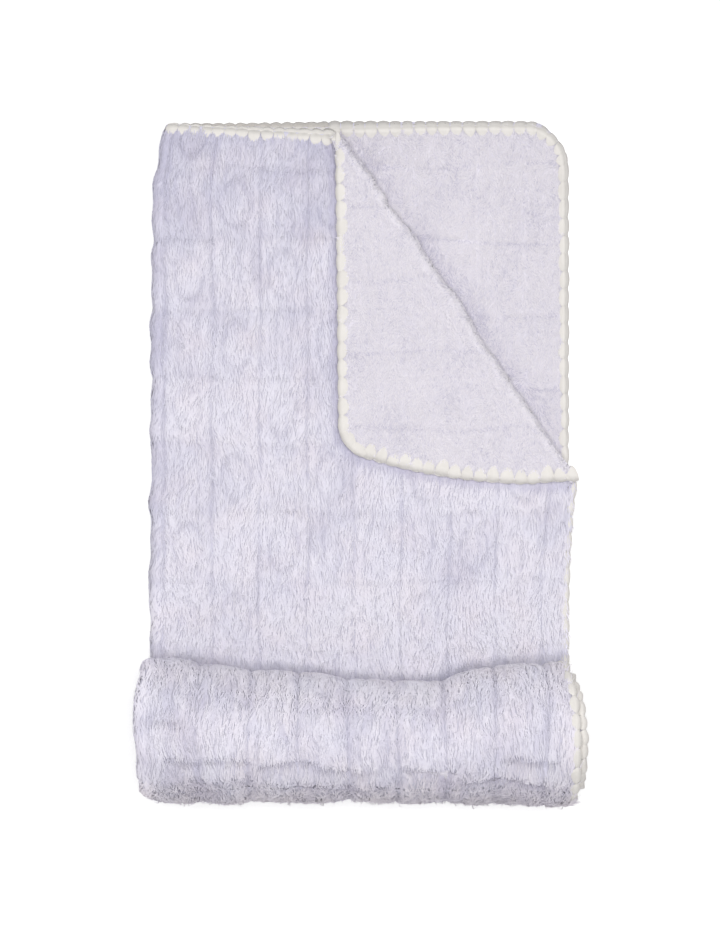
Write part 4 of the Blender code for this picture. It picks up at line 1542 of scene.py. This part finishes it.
def add_crease_fuzz():
    """The fuzz over the crease, which bends with it."""
    lengthwise = (2 * MM, CREASE_LENGTH - 4 * MM)
    over = (CREASE_STRIP * 0.4, CREASE_STRIP + CREASE_ARC)
    distance, around, draw = scattered(CREASE_FUZZ_SEED, *lengthwise, *over, 2 * FUZZ_DENSITY)
    width = strand_widths(draw, FUZZ_WIDTH, len(distance))
    calm = crease_calm(around)
    stand = 1 + 0.7 * (1 - calm)
    # The fuzz over the crease gets a little painted shade
    growth = fuzzy(distance, around, lining_print, draw, shade=CREASE_FUZZ_SHADE, calm=calm, stand=stand)
    item, around = strands(
        "crease_fuzz", growth, width, crease_place, 1, FUZZ, FUZZ_CLOTH_SHARE, CREASE_FUZZ_UPWARD
    )
    bent_at_crease(item, around)


def edge_path(points, spacing):
    """A path resampled at equal distances, with its inward normals."""
    points = np.asarray(points, float)
    travelled = travelled_along(points)
    count = max(3, round(travelled[-1] / spacing) + 1)
    steps = np.linspace(0, travelled[-1], count)
    path = np.stack([np.interp(steps, travelled, points[:, k]) for k in (0, 1)], -1)
    return path, inward_normals(path), steps


def stitch_section():
    """The section across one stitch: a parabola on its outer side, nearly flat against the cloth."""
    shares = np.linspace(-1, 1, 5)
    outer = np.stack([shares, 1 - shares**2], -1)
    under = np.array([[0.5, -0.3], [-0.5, -0.3]])
    return np.concatenate([outer, under])


def tube(stations, ring, share):
    """The quads of a tube of rings of points, their bake map over this share of its width, and the two
    caps at its ends."""
    i, j = np.meshgrid(np.arange(stations - 1), np.arange(ring), indexing="ij")
    after = (j + 1) % ring
    quads = np.stack([i * ring + j, i * ring + after, (i + 1) * ring + after, (i + 1) * ring + j], -1)
    u = np.stack([j, j + 1, j + 1, j], -1).reshape(-1, 4) / ring * share
    v = np.stack([i, i, i + 1, i + 1], -1).reshape(-1, 4) / stations
    caps = np.stack([np.arange(ring)[::-1], (stations - 1) * ring + np.arange(ring)])
    return quads.reshape(-1, 4), np.stack([u, v], -1), caps


def cap_maps(ring, centre, radius, apart):
    """The two caps' places on the bake map: circles of this radius, the second this far above the first."""
    angle = np.arange(ring) / ring * math.tau
    circle = np.stack([centre[0] + radius * np.cos(angle), centre[1] + radius * np.sin(angle)], -1)
    return np.stack([circle[::-1], circle + (0, apart)])


def stitches(name, path, normals, places, pitch, sizes, place):
    """Whipstitches over a stitched edge. Each is its section carried over the edge, from the plush side
    round the rim, where it is thickest, to the lining side, and narrow at both rounded ends.

    places are the stitches' places along the path, in metres. sizes holds how far they reach in, the
    share of their width at their ends, how far their ends lean along the edge, how deep the pile of the
    plush side takes them in, their thickness, and the length of path where they are shorter.
    """
    depth, taper, lean, sunk, thickness, short_within = sizes
    travelled = travelled_along(path)
    centre = np.stack([np.interp(places, travelled, path[:, k]) for k in (0, 1)], -1)
    inward = np.stack([np.interp(places, travelled, normals[:, k]) for k in (0, 1)], -1)
    inward /= np.linalg.norm(inward, axis=1, keepdims=True)
    ahead = np.stack([inward[:, 1], -inward[:, 0]], -1)
    shares = np.array([1.0, 0.84, 0.5, 0.12])
    shares = np.concatenate([shares, shares[::-1]])
    heights = np.array([0.9, 0.2, -0.3, 0.1]) * MM
    heights = np.concatenate([heights + sunk, CLOTH - heights[::-1]])
    push_in = np.array([0.5, 0.25, 0.0, -0.85])
    push_in = np.concatenate([push_in, push_in[::-1]])
    push_up = np.array([0.85, 0.95, 1.0, 0.5])
    push_up = np.concatenate([-push_up, push_up[::-1]])
    rounding = np.sqrt(np.clip(1.03 - shares**4, 0.12, 1))
    width = pitch * STITCH_SPREAD * (1 - (1 - taper) * shares**1.5) * rounding
    thick = thickness * (0.5 + RIM_SWELL * (1 - shares) ** 2)
    draw = np.random.default_rng(len(places) + len(name))
    reach = depth * draw.uniform(0.84, 1.14, len(places))
    if short_within > 0:
        reach = reach * (0.35 + 0.65 * smooth(places, 0, short_within))
    wide = draw.uniform(0.90, 1.05, len(places))
    leaning = lean + draw.uniform(-0.4, 0.4, len(places)) * MM
    plump = draw.uniform(0.85, 1.15, len(places))
    section = stitch_section()
    side = section[:, 0] * width[None, :, None] / 2 * wide[:, None, None]
    side = side + leaning[:, None, None] * shares[None, :, None]
    rise = section[:, 1] * thick[None, :, None] * plump[:, None, None]
    d = reach[:, None, None] * shares[None, :, None] + rise * push_in[None, :, None] + 0 * side
    h = heights[None, :, None] + rise * push_up[None, :, None] + 0 * side
    flat_x = centre[:, 0, None, None] + inward[:, 0, None, None] * d + ahead[:, 0, None, None] * side
    flat_y = centre[:, 1, None, None] + inward[:, 1, None, None] * d + ahead[:, 1, None, None] * side
    points = place(flat_x, flat_y, h)
    step = 0.3 * MM
    step_in = step * push_in[None, :, None]
    lifted = place(
        flat_x + inward[:, 0, None, None] * step_in,
        flat_y + inward[:, 1, None, None] * step_in,
        h + step * push_up[None, :, None],
    )
    beside = place(
        flat_x + ahead[:, 0, None, None] * step,
        flat_y + ahead[:, 1, None, None] * step,
        h,
    )
    facing = np.where(section[:, 1] < 0, -1, 1)[:, None]
    tilt = STITCH_ROUNDNESS * section[:, 0, None] ** 3
    normals_out = (lifted - points) / step * facing + (beside - points) / step * tilt
    normals_out = (normals_out / np.linalg.norm(normals_out, axis=-1, keepdims=True)).reshape(-1, 3)
    count, stations, ring = flat_x.shape
    quad, quad_uv, caps = tube(stations, ring, 0.8)
    first = (np.arange(count) * stations * ring)[:, None, None]
    quads = (first + quad).reshape(-1, 4)
    cap_faces = (first + caps).reshape(-1, ring)
    cells = math.ceil(math.sqrt(count))
    cell = np.stack([np.arange(count) % cells, np.arange(count) // cells], -1) / cells
    size = 0.92 / cells
    quad_map = cell[:, None, None] + quad_uv[None] * size
    cap_map = cell[:, None, None] + cap_maps(ring, (0.9, 0.2), 0.07, 0.4)[None] * size
    yarn = np.zeros((count, stations, ring, 3))
    yarn[..., 0] = np.arange(ring) * 0.9 * MM + (np.arange(count) * 9.7 * MM)[:, None, None]
    yarn[..., 1] = (np.arange(stations) * 1.4 * MM)[None, :, None]
    facts = {"flat_place": yarn.reshape(-1, 3)}
    item = mesh_object(name, points, [quads, cap_faces], [quad_map, cap_map], YARN, facts, 1, normals_out)
    return item, flat_y.ravel()


def rim_cord(name, path, normals, pitch, place, material, inset):
    """A thick cord this far inside the rim, which the stitches hold. It bulges out with each stitch by
    the sine of half the way to the next."""
    sides = CORD_SIDES
    angle = np.arange(sides) / sides * math.tau
    twist = 1 + CORD_TWIST * np.sin(np.arange(len(path))[:, None] * 1.9 + angle[None])
    travelled = travelled_along(path)
    bulge = CORD_BULGE * np.abs(np.sin(travelled / pitch * math.pi))
    d = inset - bulge[:, None] + CORD_RADIUS * np.cos(angle)[None] * twist
    h = CLOTH / 2 + CORD_HEIGHT * CORD_RADIUS * np.sin(angle)[None] * twist
    flat_x = path[:, 0, None] + normals[:, 0, None] * d
    flat_y = path[:, 1, None] + normals[:, 1, None] * d
    points = place(flat_x, flat_y, h)
    rows = len(path)
    quads, quad_uv, caps = tube(rows, sides, 0.9)
    maps = [quad_uv, cap_maps(sides, (0.95, 0.1), 0.03, 0.3)]
    yarn = np.zeros((rows, sides, 3))
    yarn[..., 0] = np.arange(sides) * MM
    yarn[..., 1] = np.arange(rows)[:, None] * 2 * MM
    facts = {"flat_place": yarn.reshape(-1, 3)}
    item = mesh_object(name, points, [quads, caps], maps, material, facts, 1)
    return item, flat_y.ravel()


def arc_points(centre, radius, first, last):
    """Points on an arc of a circle, evenly between two angles in degrees."""
    angles = np.radians(np.linspace(first, last, 14))
    return np.stack([centre[0] + radius * np.cos(angles), centre[1] + radius * np.sin(angles)], -1)


def stitch_run(
    name, points, pitch, place, rider, node, depth, taper,
    lean=0.5 * MM, sunk=0.0, thickness=STITCH_THICKNESS, inset=STITCH_INSET, cord=None, short_within=0.0,
    cord_inset=CORD_INSET,
):
    """Stitches and cord along one edge, a little inside it."""
    path, normals, steps = edge_path(points, 1.4 * MM)
    count = max(1, round(steps[-1] / pitch))
    own_pitch = steps[-1] / count
    draw = np.random.default_rng(len(name) + count)
    places = (np.arange(count) + 0.5) * own_pitch + draw.uniform(-0.25, 0.25, count) * MM
    sizes = (depth, taper, lean, sunk, thickness, short_within)
    sewn_path = path + normals * inset
    sewn, sewn_along = stitches(name + "_stitches", sewn_path, normals, places, own_pitch, sizes, place)
    rim, rim_along = rim_cord(name + "_cord", path, normals, own_pitch, place, cord or YARN, cord_inset)
    rider(sewn, sewn_along)
    rider(rim, rim_along)
    if node:
        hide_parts(node)


def add_crease_edging():
    """The stitches go on over both ends of the bend along the crease, and turn with it."""
    around = CREASE_STRIP + np.linspace(-1 * MM, CREASE_ARC + 1 * MM, 12)
    top = np.stack([1 * MM + 0 * around, around], -1)[::-1]
    side = np.stack([CREASE_LENGTH - CREASE_STITCH_END - CREASE_END_DRAW * outermost(around), around], -1)
    for name, path in (("crease_top", top), ("crease_side", side)):
        stitch_run(
            name, path, END_PITCH, crease_place, bent_at_crease, None, 0.7 * TOP_DEPTH, 0.6,
            sunk=CREASE_STITCH_SUNK,
        )


def add_edging():
    """Whipstitches and their cord along every edge of the blanket."""
    def on_blanket(item, _):
        """Lets a piece ride on the laid blanket."""
        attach(item, "laid_blanket")

    def on_corner(item, _):
        """Lets a piece ride on the turned corner."""
        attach(item, "turned_corner")

    crease_across = -(CREASE_TOP[0] - (FOLD_CENTRE_X - FOLD_REACH))
    corner_centre = (BACK_HALF - CORNER_RADIUS, CORNER_RADIUS)
    node = "laid_back_edging"
    top = [[crease_across, FRONT_TOP_INSET], [0.0, FRONT_TOP_INSET]]
    stitch_run(
        "top_front_edge", top, END_PITCH, blanket_place, on_blanket, node, 1.25 * TOP_DEPTH, 0.55,
        sunk=0.35 * MM, cord_inset=1.0 * MM,
    )
    crease_x = CREASE_TOP[0] - FOLD_CENTRE_X + FOLD_REACH - 3 * MM
    # The back half's top cords use the darker copy of the yarn, as painted shade
    top = [[0.0, 0.0], [crease_x, 0.0]]
    stitch_run(
        "top_back_edge", top, END_PITCH, blanket_place, on_blanket, node, TOP_DEPTH, 0.6,
        inset=1.0 * MM, cord=YARN_IN_PAINTED_SHADE, cord_inset=1.1 * MM,
    )
    top = np.concatenate([[[crease_x, 0.0]], arc_points(corner_centre, CORNER_RADIUS, -90, 0)])
    stitch_run(
        "top_corner_edge", top, END_PITCH, blanket_place, on_blanket, node, 1.1 * TOP_DEPTH, 0.42,
        inset=0.6 * MM, cord=YARN_IN_PAINTED_SHADE, cord_inset=1.9 * MM,
    )
    side = [[BACK_HALF, CORNER_RADIUS], [BACK_HALF, FLAT_LENGTH]]
    stitch_run("back_edge", side, SIDE_PITCH, blanket_place, on_blanket, node, 0.9 * SIDE_DEPTH, 0.8)
    side = [[-FRONT_HALF, FLAT_LENGTH], [-FRONT_HALF, CREASE_DROP]]
    node = "laid_front_edging"
    stitch_run(
        "front_edge", side, SIDE_PITCH, blanket_place, on_blanket, node, SIDE_DEPTH, 0.8,
        sunk=0.6 * MM,
    )
    outline = corner_outline()
    node = "corner_edging"
    side = outline[:-CORNER_FOOT_POINTS]
    stitch_run(
        "corner_side", side, SIDE_PITCH, turned_place, on_corner, node, CORNER_DEPTH, 0.85,
        lean=-0.5 * MM, short_within=16 * MM,
    )
    foot = outline[-CORNER_FOOT_POINTS - 2:]
    stitch_run("corner_foot", foot, END_PITCH, turned_place, on_corner, node, 1.5 * CORNER_DEPTH, 0.6)
    for number, first, last, before, after in roll_ranges():
        def on_roll(item, along, first=first, before=before, after=after):
            """Bakes a piece of this stretch of the roll in place."""
            bent(item, first)

        low, high = along_at(first), along_at(last)
        if number < STRIP_COUNT:
            back = [[BACK_HALF, low], [BACK_HALF, high]]
            front = [[-FRONT_HALF, high], [-FRONT_HALF, low]]
            for side, run in (("back", back), ("front", front)):
                name = "roll_%s_%02d" % (side, number)
                node = "roll_%s_edging_%02d" % (side, number)
                stitch_run(
                    name, run, ROLL_PITCH, blanket_place, on_roll, node, SIDE_DEPTH, 0.85,
                    thickness=ROLL_STITCH_THICKNESS,
                )
        else:
            radius = HEM_CORNER_RADIUS
            first_corner = arc_points((BACK_HALF - radius, high - radius), radius, 0, 90)
            second_corner = arc_points((-FRONT_HALF + radius, high - radius), radius, 90, 180)
            hem = np.concatenate([[[BACK_HALF, low]], first_corner, second_corner, [[-FRONT_HALF, low]]])
            node = "roll_hem_edging_12"
            stitch_run("roll_hem", hem, END_PITCH, blanket_place, on_roll, node, TOP_DEPTH, 0.4)


def add_stage():
    """A white floor that keeps the soft shadow, a broad lamp from the top of the picture, and a pale sky."""
    world = bpy.data.worlds.new("studio")
    bpy.context.scene.world = world
    world.use_nodes = True
    tree = world.node_tree
    background = tree.nodes["Background"]
    background.inputs["Color"].default_value = (1, 1, 1, 1)
    path = tree.nodes.new("ShaderNodeLightPath")
    seen = math_node(tree, "MAXIMUM", path.outputs["Is Camera Ray"], path.outputs["Is Glossy Ray"])
    strength = math_node(tree, "MULTIPLY_ADD", seen, 1.0 - SKY_STRENGTH, SKY_STRENGTH)
    tree.links.new(strength, background.inputs["Strength"])

    lamp_data = bpy.data.lights.new("top_softbox", "AREA")
    lamp_data.shape = "RECTANGLE"
    lamp_data.size, lamp_data.size_y = LAMP_SIZE
    lamp_data.energy = LAMP_POWER
    linked("top_softbox", lamp_data).location = LAMP_PLACE

    mesh = bpy.data.meshes.new("floor")
    sides = ((-1, -1), (1, -1), (1, 1), (-1, 1))
    corners = [(FLOOR_REACH * x, FLOOR_REACH * y, FLOOR_HEIGHT) for x, y in sides]
    mesh.from_pydata(corners, [], [(0, 1, 2, 3)])
    floor = linked("floor", mesh)
    material = bpy.data.materials.new("white_floor")
    material.use_nodes = True
    tree = material.node_tree
    shader = tree.nodes["Principled BSDF"]
    shader.inputs["Base Color"].default_value = (FLOOR_GREY, FLOOR_GREY, FLOOR_GREY, 1)
    shader.inputs["Roughness"].default_value = 1.0
    shader.inputs["Specular IOR Level"].default_value = 0.0
    shader.inputs["Emission Color"].default_value = (1, 1, 1, 1)
    path = tree.nodes.new("ShaderNodeLightPath")
    glow = math_node(tree, "MULTIPLY", path.outputs["Is Camera Ray"], FLOOR_GLOW)
    tree.links.new(glow, shader.inputs["Emission Strength"])
    mesh.materials.append(material)


def add_camera():
    """Straight above the blanket, from 1.2 m, framed as in the photograph."""
    camera_data = bpy.data.cameras.new("camera")
    camera_data.sensor_width = CAMERA_SENSOR
    camera_data.lens = CAMERA_LENS
    camera = linked("camera", camera_data)
    camera.location = CAMERA_PLACE
    bpy.context.scene.camera = camera
    bpy.context.scene.view_settings.view_transform = "Standard"


add_stage()
add_camera()
add_cloths()
add_turned_corner()
add_crease()
add_edging()
add_crease_edging()
add_front_pile()
add_underside_pile()
add_roll_pile()
add_corner_pile()
add_back_fuzz()
add_crease_fuzz()
